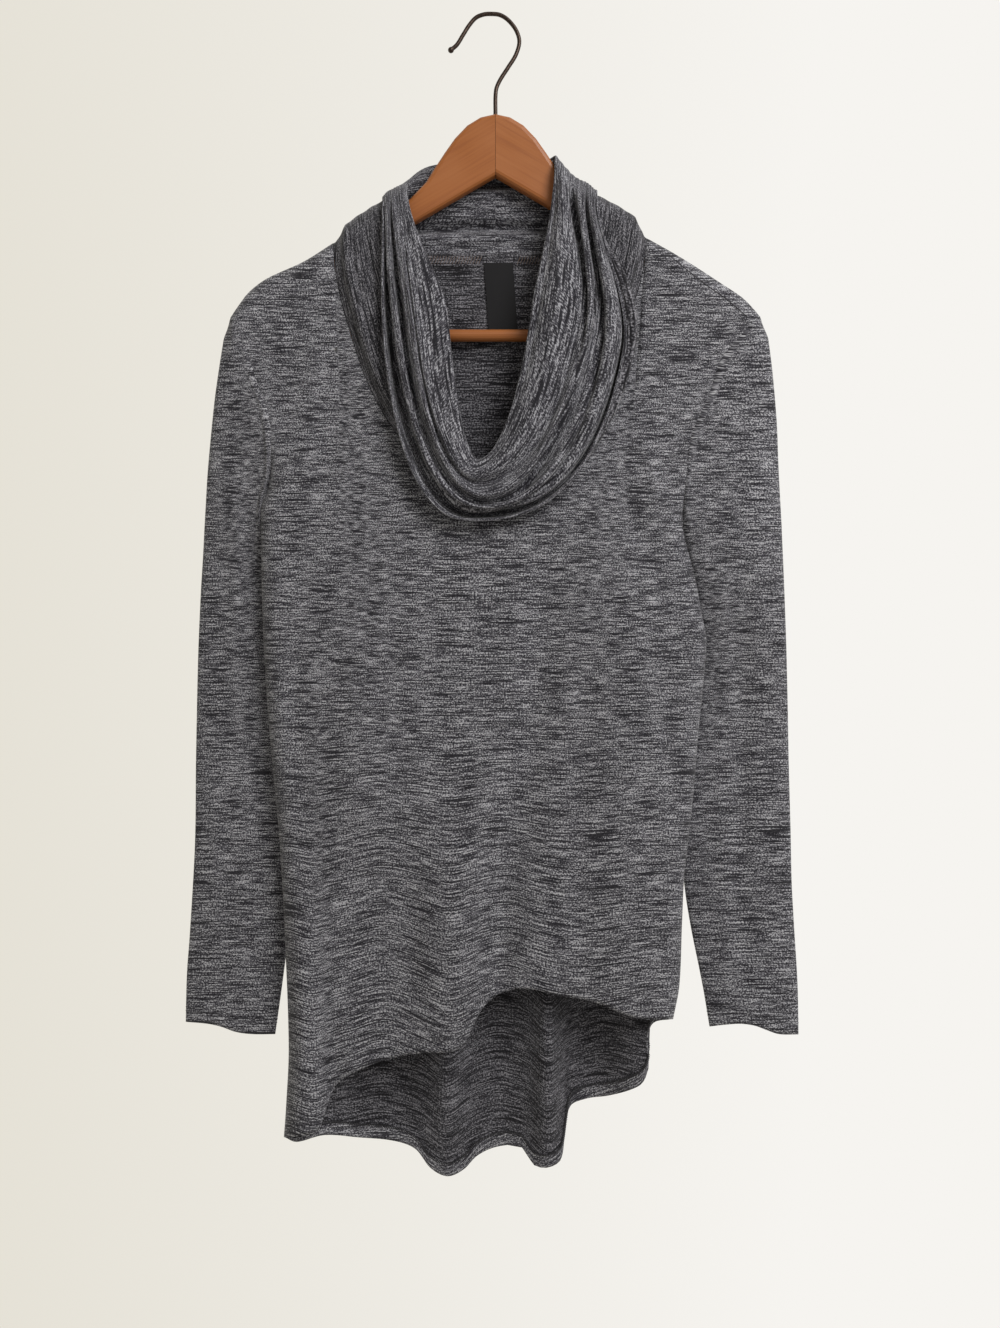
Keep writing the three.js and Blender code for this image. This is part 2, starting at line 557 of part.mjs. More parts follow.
// Half of the hanger. The whole outline is given softened edges, then cut at the glued joint in the middle.
function hangerHalf(wasm, side) {
  const underAt = (x) => HANGER_APEX + HANGER_UNDER_SLOPE * x;
  const rightHalf = [
    ...HANGER_TOP.slice(1),
    ...HANGER_END,
    { x: HANGER_UNDER_END, z: underAt(HANGER_UNDER_END) },
  ];
  const leftHalf = rightHalf.map((p) => ({ x: -p.x, z: p.z })).reverse();
  const outline = new THREE.Shape();
  outline.moveTo(0, HANGER_TOP[0].z);
  rightHalf.forEach((p) => outline.lineTo(p.x, p.z));
  outline.lineTo(0, HANGER_APEX);
  leftHalf.forEach((p) => outline.lineTo(p.x, p.z));
  const whole = new THREE.ExtrudeGeometry(outline, {
    depth: 2 * (HANGER_HALF_THICK - HANGER_BEVEL),
    bevelThickness: HANGER_BEVEL,
    bevelSize: HANGER_BEVEL,
    bevelOffset: -HANGER_BEVEL,
    bevelSegments: 3,
    steps: 1,
  });
  whole.translate(0, 0, -(HANGER_HALF_THICK - HANGER_BEVEL));
  whole.rotateX(Math.PI / 2);
  const keep = new THREE.BoxGeometry(HANGER_REACH, HANGER_REACH, 2 * HANGER_REACH);
  keep.translate((side * (HANGER_REACH + SEAM_GAP)) / 2, 0, 0);
  return geometryOf(solidOf(wasm, whole).intersect(solidOf(wasm, keep)));
}

function hangerBar() {
  const geometry = new THREE.CylinderGeometry(BAR_DIAMETER / 2, BAR_DIAMETER / 2, 2 * BAR_HALF_LENGTH, 20);
  geometry.rotateZ(Math.PI / 2);
  geometry.translate(0, 0, BAR_HEIGHT);
  return geometry;
}

// A closed geometry as a solid that can be joined.
function solidOf(wasm, geometry) {
  const bare = geometry.clone();
  bare.deleteAttribute('normal');
  bare.deleteAttribute('uv');
  const merged = mergeVertices(bare, 1e-4);
  return new wasm.Manifold(new wasm.Mesh({
    numProp: 3,
    vertProperties: merged.attributes.position.array,
    triVerts: new Uint32Array(merged.index.array),
  }));
}

// A joined or cut solid as a geometry again.
function geometryOf(solid) {
  const mesh = solid.getMesh();
  const positions = new Float32Array(mesh.numVert * 3);
  for (let i = 0; i < mesh.numVert; i += 1) {
    for (let k = 0; k < 3; k += 1) positions[3 * i + k] = mesh.vertProperties[mesh.numProp * i + k];
  }
  const geometry = new THREE.BufferGeometry();
  geometry.setAttribute('position', new THREE.BufferAttribute(positions, 3));
  geometry.setIndex(new THREE.BufferAttribute(mesh.triVerts, 1));
  geometry.computeVertexNormals();
  return geometry;
}

// The hook: a bent wire joined to the small ball on its tip.
function hook(wasm) {
  const path = new THREE.CatmullRomCurve3(HOOK.map((p) => new THREE.Vector3(p.x, 0, p.z)));
  const section = new THREE.Shape();
  for (let i = 0; i < HOOK_SIDES; i += 1) {
    const angle = (2 * Math.PI * i) / HOOK_SIDES;
    const x = (WIRE_DIAMETER / 2) * Math.cos(angle);
    const y = (WIRE_DIAMETER / 2) * Math.sin(angle);
    if (i) section.lineTo(x, y);
    else section.moveTo(x, y);
  }
  const wire = new THREE.ExtrudeGeometry(section, { steps: HOOK_STEPS, extrudePath: path });
  const ball = new THREE.SphereGeometry(HOOK_BALL_DIAMETER / 2, 12, 8);
  ball.translate(HOOK[0].x, 0, HOOK[0].z);
  return geometryOf(solidOf(wasm, wire).add(solidOf(wasm, ball)));
}

const wasm = await Module();
wasm.setup();
const tunic = new THREE.Group();

function add(name, geometry, material) {
  const mesh = new THREE.Mesh(geometry, material);
  mesh.name = name;
  tunic.add(mesh);
}

add('front', frontPanel(), KNIT);
add('back', backPanel(), KNIT);
add('sleeve_left', sleeve(LEFT_ARMHOLE, LEFT_SLEEVE, LEFT_CUFF, -1), KNIT);
add('sleeve_right', sleeve(RIGHT_ARMHOLE, RIGHT_SLEEVE, RIGHT_CUFF, 1), KNIT);
add('cowl', collar(), KNIT);
add('label', label(), LABEL_CLOTH);
add('hanger_left', hangerHalf(wasm, -1), WOOD);
add('hanger_right', hangerHalf(wasm, 1), WOOD);
add('hanger_bar', hangerBar(), WOOD);
add('hanger_hook', hook(wasm), DARK_WIRE);

export default tunic;
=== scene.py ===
"""Cowl neck tunic of marled stretch knit on a wooden hanger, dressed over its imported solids.

The solids give the form and the place. Here each cloth piece is worked out again as a fine shell on the same
lines, with its creases, hems, seams and stitches, and every surface gets its own finish.
Lengths in the shape functions are millimetres. A mesh is written in metres.
"""

import math

import bpy
import numpy as np
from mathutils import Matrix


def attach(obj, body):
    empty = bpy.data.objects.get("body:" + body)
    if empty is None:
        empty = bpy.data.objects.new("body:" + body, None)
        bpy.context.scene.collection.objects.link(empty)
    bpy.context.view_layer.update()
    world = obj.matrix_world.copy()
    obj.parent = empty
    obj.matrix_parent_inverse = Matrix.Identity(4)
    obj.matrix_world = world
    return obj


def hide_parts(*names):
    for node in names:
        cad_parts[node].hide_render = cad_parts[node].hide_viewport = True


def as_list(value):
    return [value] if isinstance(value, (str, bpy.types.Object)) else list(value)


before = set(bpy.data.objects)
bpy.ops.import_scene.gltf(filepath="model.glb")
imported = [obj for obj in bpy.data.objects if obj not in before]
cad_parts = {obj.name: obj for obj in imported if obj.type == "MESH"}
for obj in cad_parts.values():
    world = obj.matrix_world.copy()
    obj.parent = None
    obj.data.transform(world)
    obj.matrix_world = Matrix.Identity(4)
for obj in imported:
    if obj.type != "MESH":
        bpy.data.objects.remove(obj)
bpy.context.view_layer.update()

bl_info = {
    "name": "Cowl neck tunic",
    "version": (1, 0, 0),
    "blender": (4, 5, 0),
    "location": "3D View > Sidebar > Tunic",
    "description": "Builds the cloth, seams, hanger and studio of a cowl neck tunic",
    "category": "Add Mesh",
}


# Sizes and tables shared with the solids, in millimetres

EYE = {"x": 4.0, "z": -567.0, "away": 1100.0}
SEAM_GAP = 0.3
SEAM_EASE = 0.3
CLOTH = 1.5
SHOULDER_ROUND = 8.8
FRONT_EDGE_ROUND = 14.0
BACK_EDGE_ROUND = 8.0
UNDERARM_FADE = 70.0
EDGE_PULL = 14
ARM_SLOPE = 0.6
SHOULDER_SLANT = 0.85
BACK_EDGE_SHARE = 0.26
BACK_RISE = {"from": 20.0, "wide": 60.0}
COLLAR_CROWDING = 1.6
SLEEVE_CROWDING = 1.2
SLEEVE_FOOT = -900.0
SLEEVE_BLEND = {"tip": 20.0, "middle": 120.0, "depth": 100.0, "inmost": 0.3}
ARMHOLE_STEPS = (0, 0.012, 0.03, 0.055, 0.1, 0.18, 0.3, 0.45, 0.6, 0.75, 0.88, 0.96, 1)
SHOULDER_STEPS = 5
NECK_STEPS = {"front": 28, "back": 36}


def table(columns, *rows):
    """A table with named columns: each column becomes one array."""
    return {name: np.array([row[i] for row in rows], float) for i, name in enumerate(columns.split())}


LEFT_SHOULDER = table("x z",
    (-231.5, -264.5), (-224.5, -254), (-215.2, -242), (-201, -231), (-188.6, -225), (-166.7, -215),
    (-142, -199.4))
RIGHT_SHOULDER = table("x z",
    (231.5, -264), (224.4, -255.6), (215.2, -246.5), (196.4, -234), (176.1, -220.7), (155.8, -208.2),
    (132.6, -195.2))
LEFT_ARMHOLE = table("x z",
    (-231.5, -264.5), (-224.4, -280), (-218.3, -291), (-207.3, -323.8), (-199.5, -344), (-196.4, -366),
    (-195.8, -397), (-199, -416), (-204.5, -430))
RIGHT_ARMHOLE = table("x z",
    (231.5, -264), (224.4, -268.4), (218.3, -275.4), (208.7, -286), (198, -298.8), (193.3, -309.8),
    (186.8, -331.6), (170, -371), (166.5, -413), (164.5, -440), (166, -455))
LEFT_SIDE = table("x z",
    (-204.5, -430), (-203.5, -515), (-199.7, -593), (-195, -650), (-188.2, -723), (-183.8, -803),
    (-180.3, -902), (-182.6, -954), (-184.5, -981))
RIGHT_SIDE = table("x z",
    (166, -455), (173, -484), (180, -523), (184, -546), (181.9, -578), (177.2, -625), (172.8, -678),
    (168.4, -719), (164.9, -748), (162.7, -794), (160.4, -848), (154.9, -877.6))
FRONT_HEM = table("x z",
    (-184.5, -981), (-166, -979), (-154, -974), (-148, -955), (-140, -936), (-112, -919), (-75, -908.5),
    (-37, -905.6), (-26, -897), (-14, -872), (-2, -859), (12, -852.5), (28.4, -851), (56, -857), (87, -863),
    (117, -875), (135, -878.5), (154.9, -877.6))
BACK_HEM = table("x z",
    (-184.5, -981), (-174, -985), (-150, -979), (-120, -981), (-89, -984), (-70, -991), (-56, -1008),
    (-42, -1015), (-28, -1009), (-16, -997), (0, -989.5), (20, -988), (28, -995), (34, -1005), (45, -1007.5),
    (56, -1001), (60, -980), (65, -954), (80, -947), (99, -944.5), (118, -939.5), (129, -933), (133.6, -919),
    (132, -898), (138, -881), (154.9, -877.6))
DEPTHS = table("z front back seam",
    (-190, 8.8, 8.8, 0), (-265, 8.8, 8.8, 0), (-330, 10, 10, -0.5), (-400, 14, 12, -1.5), (-450, 16, 13, -3),
    (-600, 19, 15, -6), (-800, 20, 16, -7), (-1020, 22, 16, -7))
FRONT_FOLDS = table("topX topZ footX footZ fade out wide",
    (-118, -480, -118, -760, 90, 4.5, 28),
    (-98, -690, -100, -1000, 120, -6, 34),
    (-35, -640, -38, -1000, 160, 7, 26),
    (56, -440, -8, -900, 90, -6, 20),
    (44, -690, 34, -960, 140, 4, 20),
    (122, -430, 110, -960, 120, 5, 34),
    (-168, -720, -168, -1060, 170, 6, 15),
    (-141, -860, -139, -1020, 90, -6, 10))
BACK_FOLDS = table("topX topZ footX footZ fade out wide",
    (-135, -700, -128, -1100, 200, 5, 24),
    (-86, -640, -84, -1100, 240, 5, 18),
    (-44, -660, -43, -1120, 260, -15, 14),
    (4, -640, 2, -1100, 260, 7, 18),
    (46, -700, 44, -1120, 230, -19, 11),
    (92, -640, 94, -1100, 240, 6, 20),
    (60, -330, 40, -620, 120, 4, 30),
    (-70, -330, -60, -640, 120, 3.5, 30))
LEFT_SLEEVE = table("z out in mid half",
    (-264.5, -231.5, -231, 0, 8.8), (-272, -235, -227.5, 0, 8.8), (-291, -238.5, -219, 0, 8.8),
    (-323.8, -243.5, -208, 1, 8.8), (-344, -246, -200.5, 1.5, 8.8), (-397, -251, -196.8, 3.5, 8.5),
    (-430, -253, -206.6, 6, 8), (-452, -254.2, -208.5, 8, 7.5), (-472, -255.2, -203, 10, 7),
    (-505, -257.2, -189, 11, 7), (-560, -259.5, -183, 11.5, 7), (-650, -261.4, -181, 11.5, 7.5),
    (-723, -262.3, -180, 11, 7.5), (-803, -266.8, -182, 11, 7.5), (-839, -269.4, -186, 11, 7),
    (-893, -270.6, -193.5, 11, 6.5))
RIGHT_SLEEVE = table("z out in mid half",
    (-264, 231.5, 231, 0, 8.8), (-271, 236, 223, 0, 8.8), (-291, 239.3, 204.5, 0, 8.8),
    (-319, 242.6, 191, 0, 9), (-358, 245.7, 175.5, -1, 9.5), (-397, 247.2, 168, -2, 10.5),
    (-445, 249.8, 167.2, -3, 12), (-455, 250.2, 169, -3, 12), (-484, 251.5, 176.5, -2, 12),
    (-523, 253, 183.6, 1.5, 11.5), (-546, 253.8, 187, 5, 11), (-572, 254.5, 184.6, 8, 10),
    (-610, 255.3, 176, 10.5, 8.5), (-650, 256, 168.5, 11, 8), (-714, 257.7, 163, 11, 7.5),
    (-757, 258.6, 165.5, 11, 7.5), (-794, 260.6, 171, 11, 7), (-848, 263.8, 181.8, 11, 7),
    (-891, 264.6, 189, 11, 6.5))
LEFT_CUFF = table("x z",
    (-270.6, -880), (-252, -881.7), (-240, -884.4), (-227.5, -888.8), (-213, -890.7), (-193.5, -890.7))
RIGHT_CUFF = table("x z",
    (189, -884), (201, -882.6), (215.7, -881.7), (228, -883.5), (237, -887), (248, -890.7), (264.6, -891))
COLLAR = table("row topR liftR lowR topL liftL lowL midX lowZ bend topY sideR sideL lowY backZ backY",
    (0, 132.3, 9, 124, 141.7, 8, 130, -5, -412, 2, 8.8, 12, 12, 16, -213.4, 8.8),
    (1, 122, 17, 115, 131, 16, 120, -6, -405, 2, 13, 16, 16, 20, -196, 9.4),
    (2, 99, 16, 90, 111, 17, 88, -10, -398, 2, 12, 19, 19, 23.5, -168, 9.8),
    (3, 74, 11, 66, 92, 15, 46, -14, -391, 1.9, 12, 22, 21, 26, -142, 11),
    (4, 53, 10, 57, 78, 14, 30, -16, -389, 1.9, 15, 27, 26, 31, -130, 16),
    (5, 59, 14, 81, 82, 18.5, 54, -19, -401, 2, 20, 34, 33, 38, -133, 22),
    (6, 67, 15, 101, 86, 20, 62, -15, -409, 2, 18, 28, 32, 33, -148, 24),
    (7, 74, 17, 104, 90, 20.5, 71, -12, -418, 2, 21, 35, 31, 40, -168, 25),
    (8, 79, 19, 106, 93, 21, 79, -9, -424, 2.1, 20, 29, 29, 35, -186, 24.5),
    (9, 83, 19, 117, 95, 21, 84, -8, -429, 2.2, 21, 34, 32, 39, -203, 26),
    (10, 86, 18, 131, 97, 20, 85, -10, -435, 2.4, 20, 27, 27, 33, -219, 25),
    (11, 88, 18, 140, 98, 19, 84, -18, -441, 2.5, 20, 28, 29, 32, -232, 26))
HANGER_TOP = table("x z",
    (0, -87.2), (13, -90.1), (24.8, -97.3), (35.6, -108.6), (44.3, -120.9), (52.9, -134), (60.5, -146.5),
    (74.8, -161.5), (100, -179), (132, -200), (156, -213.6), (176, -226), (196.4, -239.6), (210, -250),
    (217, -258), (219, -268))
HOOK = table("x z",
    (-38.9, -29.8), (-33.7, -25.2), (-28.5, -16.9), (-22.7, -7.8), (-17, -1.5), (-10.3, 1.3), (-3.5, 1.8),
    (3.9, 0.9), (10.9, -3.4), (17.9, -12.2), (20.9, -22.3), (17.9, -33.9), (10.8, -45.5), (3.5, -57.1),
    (0.4, -65.6), (0, -86.9))
HANGER_APEX = -140.9
HANGER_HALF_THICK = 6.5
GLUE_HALF = 0.13
GLUE_INSET = {"top": 1.2, "foot": 1.0, "side": 1.0}
WOOD_CLEAR = 1.2
WIRE_RADIUS = 1.8
HOOK_BALL_RADIUS = 2.6

# How the knit's courses wave with the folds: their height there, as a bump round x that grows downwards
FRONT_COURSES = table("x wide rise",
    (-98, 26, 11), (-40, 20, -9), (10, 24, 9), (75, 45, -8), (-160, 16, -8))
BACK_COURSES = table("x wide rise",
    (-100, 26, 8), (-43, 16, -14), (4, 22, 8), (46, 12, -15), (96, 26, 9))
COURSE_GROWTH = {"from": -560.0, "over": 320.0}


# Plain functions of arrays

def clamp(value, low=0.0, high=1.0):
    return np.minimum(high, np.maximum(low, value))


def mix(a, b, t):
    return a + (b - a) * t


def smooth(t):
    """The S-curve 3t^2 - 2t^3, held flat outside 0 to 1."""
    t = clamp(t)
    return t * t * (3 - 2 * t)


def bell(away, wide):
    """A bump of height 1: exp(-(away / wide)^2)."""
    return np.exp(-((away / wide) ** 2))


def faded(value, start, end, fade):
    """1 between two ends that lie in falling order, eased to 0 at each over the fade."""
    return smooth((start - value) / fade) * smooth((value - end) / fade)


def quarter_round(t):
    """A quarter of a circle that rises from 0 with an upright tangent to a flat 1."""
    return np.sqrt(1 - (1 - clamp(t)) ** 2)


def line_of(rows, key, value):
    """A smooth line through a table's column, as a function of another column.

    Between two rows it is the cubic whose end slopes are those between each row's neighbours.
    """
    order = np.argsort(rows[key])
    k, v = rows[key][order], rows[value][order]
    last = len(k) - 1
    below = np.maximum(np.arange(last + 1) - 1, 0)
    above = np.minimum(np.arange(last + 1) + 1, last)
    slope = (v[above] - v[below]) / (k[above] - k[below])

    def at(x):
        x = clamp(x, k[0], k[-1])
        i = np.searchsorted(k[1:-1], x, side="left")
        span = k[i + 1] - k[i]
        t = (x - k[i]) / span
        rise = v[i + 1] - v[i]
        c = slope[i] * span - rise
        d = -slope[i + 1] * span + rise
        return mix(v[i], v[i + 1], t) + t * (1 - t) * (c * (1 - t) + d * t)

    return at


def run_of(x, z):
    """The length run so far along a chain of points."""
    return np.concatenate([[0], np.cumsum(np.hypot(np.diff(x), np.diff(z)))])


def run_along(points):
    """The length run so far down each column of an array of points."""
    step = np.linalg.norm(np.diff(points, axis=0), axis=-1)
    return np.concatenate([np.zeros_like(step[:1]), np.cumsum(step, axis=0)])


def run_round(grid):
    """The length run so far round each looped row of a grid, with the whole loop's length at the end."""
    step = np.linalg.norm(np.roll(grid, -1, axis=1) - grid, axis=-1)
    return np.concatenate([np.zeros((len(grid), 1)), np.cumsum(step, axis=1)], axis=1)


def curve_of(rows):
    """A smooth curve through x, z rows, as a function of the share of its length."""
    marked = {"x": rows["x"], "z": rows["z"], "run": run_of(rows["x"], rows["z"])}
    x, z = line_of(marked, "run", "x"), line_of(marked, "run", "z")
    return lambda share: (x(share * marked["run"][-1]), z(share * marked["run"][-1]))


def place(x, y, z):
    """Points seen at x, z in the plane y = 0 from the eye, put at their real depth y."""
    nearer = (EYE["away"] + y) / EYE["away"]
    x, y, z = np.broadcast_arrays(EYE["x"] + (x - EYE["x"]) * nearer, y, EYE["z"] + (z - EYE["z"]) * nearer)
    return np.stack([x, y, z], axis=-1)


def joined(first, second):
    """Two tables of one line, one after the other, with the point that they share kept once."""
    return {name: np.concatenate([first[name], second[name][1:]]) for name in ("x", "z")}


hanger_top = line_of(HANGER_TOP, "x", "z")
left_ridge = line_of(LEFT_SHOULDER, "x", "z")
right_ridge = line_of(RIGHT_SHOULDER, "x", "z")
left_edge = line_of(joined(LEFT_ARMHOLE, LEFT_SIDE), "z", "x")
right_edge = line_of(joined(RIGHT_ARMHOLE, RIGHT_SIDE), "z", "x")
front_depth = line_of(DEPTHS, "z", "front")
back_depth = line_of(DEPTHS, "z", "back")
seam_depth = line_of(DEPTHS, "z", "seam")
collar_lines = {name: line_of(COLLAR, "row", name) for name in COLLAR if name != "row"}


def shoulder_ridge(x):
    """Height of the shoulder over x. Inside the neck it goes on up with the hanger's arm."""
    line = np.where(x < 0, left_ridge(x), right_ridge(x))
    neck = np.where(x < 0, -LEFT_SHOULDER["x"][-1], RIGHT_SHOULDER["x"][-1])
    return line + np.maximum(0, neck - np.abs(x)) * ARM_SLOPE


def folds_at(rows, x, z):
    """The sum of bell-shaped ridges and hollows, each along its own slanted line and faded at both ends."""
    out = 0.0
    for top_x, top_z, foot_x, foot_z, fade, height, wide in zip(*rows.values()):
        along = (top_z - z) / (top_z - foot_z)
        middle = mix(top_x, foot_x, clamp(along))
        out = out + height * faded(z, top_z, foot_z, fade) * bell(x - middle, wide)
    return out


def edge_weight(z, underarm):
    """How far the body's edge rounding applies: not on the chest, fully below the underarm."""
    return smooth(1 - (z - underarm) / UNDERARM_FADE)


def shoulder_round(x, z):
    """The depth left by the rounding over the hanger: none on the ridge, all of it a little lower."""
    return quarter_round((shoulder_ridge(x) - z) * SHOULDER_SLANT / SHOULDER_ROUND)


def front_y(x, z, creases=0.0):
    """Depth of the front wall: its mean depth and folds, rounded in to the side seams and the shoulder."""
    wall = -front_depth(z) - folds_at(FRONT_FOLDS, x, z) - creases
    left = mix(1, quarter_round((x - left_edge(z)) / FRONT_EDGE_ROUND), edge_weight(z, LEFT_SIDE["z"][0]))
    right = mix(1, quarter_round((right_edge(z) - x) / FRONT_EDGE_ROUND), edge_weight(z, RIGHT_SIDE["z"][0]))
    return mix(seam_depth(z), wall, left * right) * shoulder_round(x, z)


def back_rise(edge):
    """How far the back has come out from the seam: a quick start, then a slow rise."""
    start = quarter_round(edge / BACK_EDGE_ROUND)
    return mix(smooth((edge - BACK_RISE["from"]) / BACK_RISE["wide"]), start, BACK_EDGE_SHARE)


def back_y(x, z, creases=0.0):
    """Depth of the back wall, made as the front's."""
    wall = back_depth(z) + folds_at(BACK_FOLDS, x, z) + creases
    left = mix(1, back_rise(x - left_edge(z)), edge_weight(z, LEFT_SIDE["z"][0]))
    right = mix(1, back_rise(right_edge(z) - x), edge_weight(z, RIGHT_SIDE["z"][0]))
    return mix(seam_depth(z), wall, left * right) * shoulder_round(x, z)


def collar_point(row, turn, shrink=0.0):
    """A point of the collar. Row goes from the neck seam to the free edge, turn from 0 to 4 round the neck.

    In front each loop is half of a rounded superellipse hung from the hanger's two arms. Behind the neck it
    is a flatter arc between them.
    """
    at = {name: line(row) for name, line in collar_lines.items()}
    right = turn <= 2
    side = np.where(right, 1.0, -1.0)
    top = np.where(right, at["topR"], at["topL"]) - shrink
    lift = np.where(right, at["liftR"], at["liftL"])
    low = np.where(right, at["lowR"], at["lowL"]) - shrink
    on_ridge = np.where(right, RIGHT_SHOULDER["z"][-1], LEFT_SHOULDER["z"][-1])
    crest = mix(on_ridge, hanger_top(top) + lift, clamp(row))
    from_bottom = np.where(right, turn, 4 - turn)

    angle = math.pi / 2 * (1 - (1 - clamp(from_bottom)) ** COLLAR_CROWDING)
    down = np.cos(angle)
    across = np.maximum(0, 1 - down ** at["bend"]) ** (1 / at["bend"])
    width = mix(top, low, smooth(down / 0.5))
    x = at["midX"] * smooth(down / 0.5) + side * width * across
    z = crest + (at["lowZ"] + shrink - crest) * down
    arch = at["topY"] * quarter_round((crest - z) / at["topY"])
    side_y = np.where(right, at["sideR"], at["sideL"])
    to_side = (side_y - at["topY"]) * smooth(down / 0.5)
    to_low = (at["lowY"] - side_y) * smooth((down - 0.5) / 0.5)
    y = -(arch + to_side + to_low)

    sweep = math.pi / 2 * clamp(from_bottom - 1)
    back_x = side * top * np.maximum(0, np.cos(sweep)) ** 0.5
    back_z = mix(crest, at["backZ"] + shrink, smooth(np.sin(sweep) ** 1.5))
    behind_y = at["backY"] * np.sin(sweep) ** 0.5
    behind = from_bottom > 1
    return np.where(behind, back_x, x), np.where(behind, behind_y, y), np.where(behind, back_z, z)


# Meshes

def linear(code):
    """A colour given as sRGB hex, turned to linear light."""
    c = np.array([int(code[i:i + 2], 16) / 255 for i in (1, 3, 5)])
    c = np.where(c <= 0.04045, c / 12.92, ((c + 0.055) / 1.055) ** 2.4)
    return tuple(float(v) for v in c)


def mesh_object(name, points, quads, uvs=None, materials=(), slots=None, flat=None):
    """Puts arrays of points (millimetres) and quads into a new mesh object, with a UV map in millimetres."""
    mesh = bpy.data.meshes.new(name)
    mesh.vertices.add(len(points))
    mesh.vertices.foreach_set("co", (np.asarray(points, float) / 1000).ravel())
    mesh.loops.add(quads.size)
    mesh.loops.foreach_set("vertex_index", quads.ravel().astype(np.int32))
    mesh.polygons.add(len(quads))
    mesh.polygons.foreach_set("loop_start", np.arange(0, quads.size, 4, dtype=np.int32))
    if slots is not None:
        mesh.polygons.foreach_set("material_index", slots.astype(np.int32))
    smooth_faces = np.ones(len(quads), bool) if flat is None else ~flat
    mesh.polygons.foreach_set("use_smooth", smooth_faces)
    if uvs is not None:
        layer = mesh.uv_layers.new(name="cloth")
        layer.uv.foreach_set("vector", np.asarray(uvs, float).ravel())
    mesh.update(calc_edges=True)
    mesh.validate()
    piece = bpy.data.objects.new(name, mesh)
    bpy.context.scene.collection.objects.link(piece)
    for material in materials:
        mesh.materials.append(material)
    return piece


def grid_quads(rows, cols, loop):
    """Corner indices (row, column) of each quad of a grid, as four arrays in order."""
    r, c = np.meshgrid(np.arange(rows - 1), np.arange(cols if loop else cols - 1), indexing="ij")
    corners = [(r, c), (r + 1, c), (r + 1, c + 1), (r, c + 1)]
    return [(a.ravel(), b.ravel()) for a, b in corners]


def ring_quads(rows, cols):
    """The quads of a looped grid, as point numbers."""
    return np.stack([r * cols + c % cols for r, c in grid_quads(rows, cols, True)], axis=-1)


def normals_of(grid, loop):
    """Unit normals of a grid of points, from the directions down its rows and across its columns."""
    down = np.empty_like(grid)
    down[1:-1] = grid[2:] - grid[:-2]
    down[0], down[-1] = grid[1] - grid[0], grid[-1] - grid[-2]
    if loop:
        across = np.roll(grid, -1, axis=1) - np.roll(grid, 1, axis=1)
    else:
        across = np.empty_like(grid)
        across[:, 1:-1] = grid[:, 2:] - grid[:, :-2]
        across[:, 0], across[:, -1] = grid[:, 1] - grid[:, 0], grid[:, -1] - grid[:, -2]
    normal = np.cross(down, across)
    return normal / np.maximum(np.linalg.norm(normal, axis=-1, keepdims=True), 1e-9)


def shell(name, grid, uv, loop, thick, face, reverse):
    """A closed cloth wall of even thickness about a grid of points.

    Each point is moved half the thickness both ways along the grid's normal. The two sides are joined by a
    rim. Side one takes the face material, side two the reverse. uv has one more column than a looped grid.
    """
    rows, cols = grid.shape[:2]
    half = normals_of(grid, loop) * thick / 2
    points = np.concatenate([(grid + half).reshape(-1, 3), (grid - half).reshape(-1, 3)])
    corners = grid_quads(rows, cols, loop)
    outer = np.stack([r * cols + c % cols for r, c in corners], axis=-1)
    outer_uv = np.stack([uv[r, c] for r, c in corners], axis=1)
    inner = outer[:, ::-1] + rows * cols
    inner_uv = outer_uv[:, ::-1]
    quads, uvs, slots = [outer, inner], [outer_uv, inner_uv], [np.zeros(len(outer)), np.ones(len(inner))]
    rims = []
    c = np.arange(cols if loop else cols - 1)
    rims.append((np.zeros_like(c), c, np.zeros_like(c), c + 1))
    rims.append((np.full_like(c, rows - 1), c + 1, np.full_like(c, rows - 1), c))
    if not loop:
        r = np.arange(rows - 1)
        rims.append((r + 1, np.zeros_like(r), r, np.zeros_like(r)))
        rims.append((r, np.full_like(r, cols - 1), r + 1, np.full_like(r, cols - 1)))
    for r0, c0, r1, c1 in rims:
        first, second = r0 * cols + c0 % cols, r1 * cols + c1 % cols
        quads.append(np.stack([first, second, second + rows * cols, first + rows * cols], axis=-1))
        uvs.append(np.stack([uv[r0, c0], uv[r1, c1], uv[r1, c1] + 1.0, uv[r0, c0] + 1.0], axis=1))
        slots.append(np.zeros(len(first)))
    quads, uvs, slots = np.concatenate(quads), np.concatenate(uvs), np.concatenate(slots)
    flat = np.arange(len(quads)) >= 2 * len(outer)
    return mesh_object(name, points, quads, uvs, (face, reverse), slots, flat)


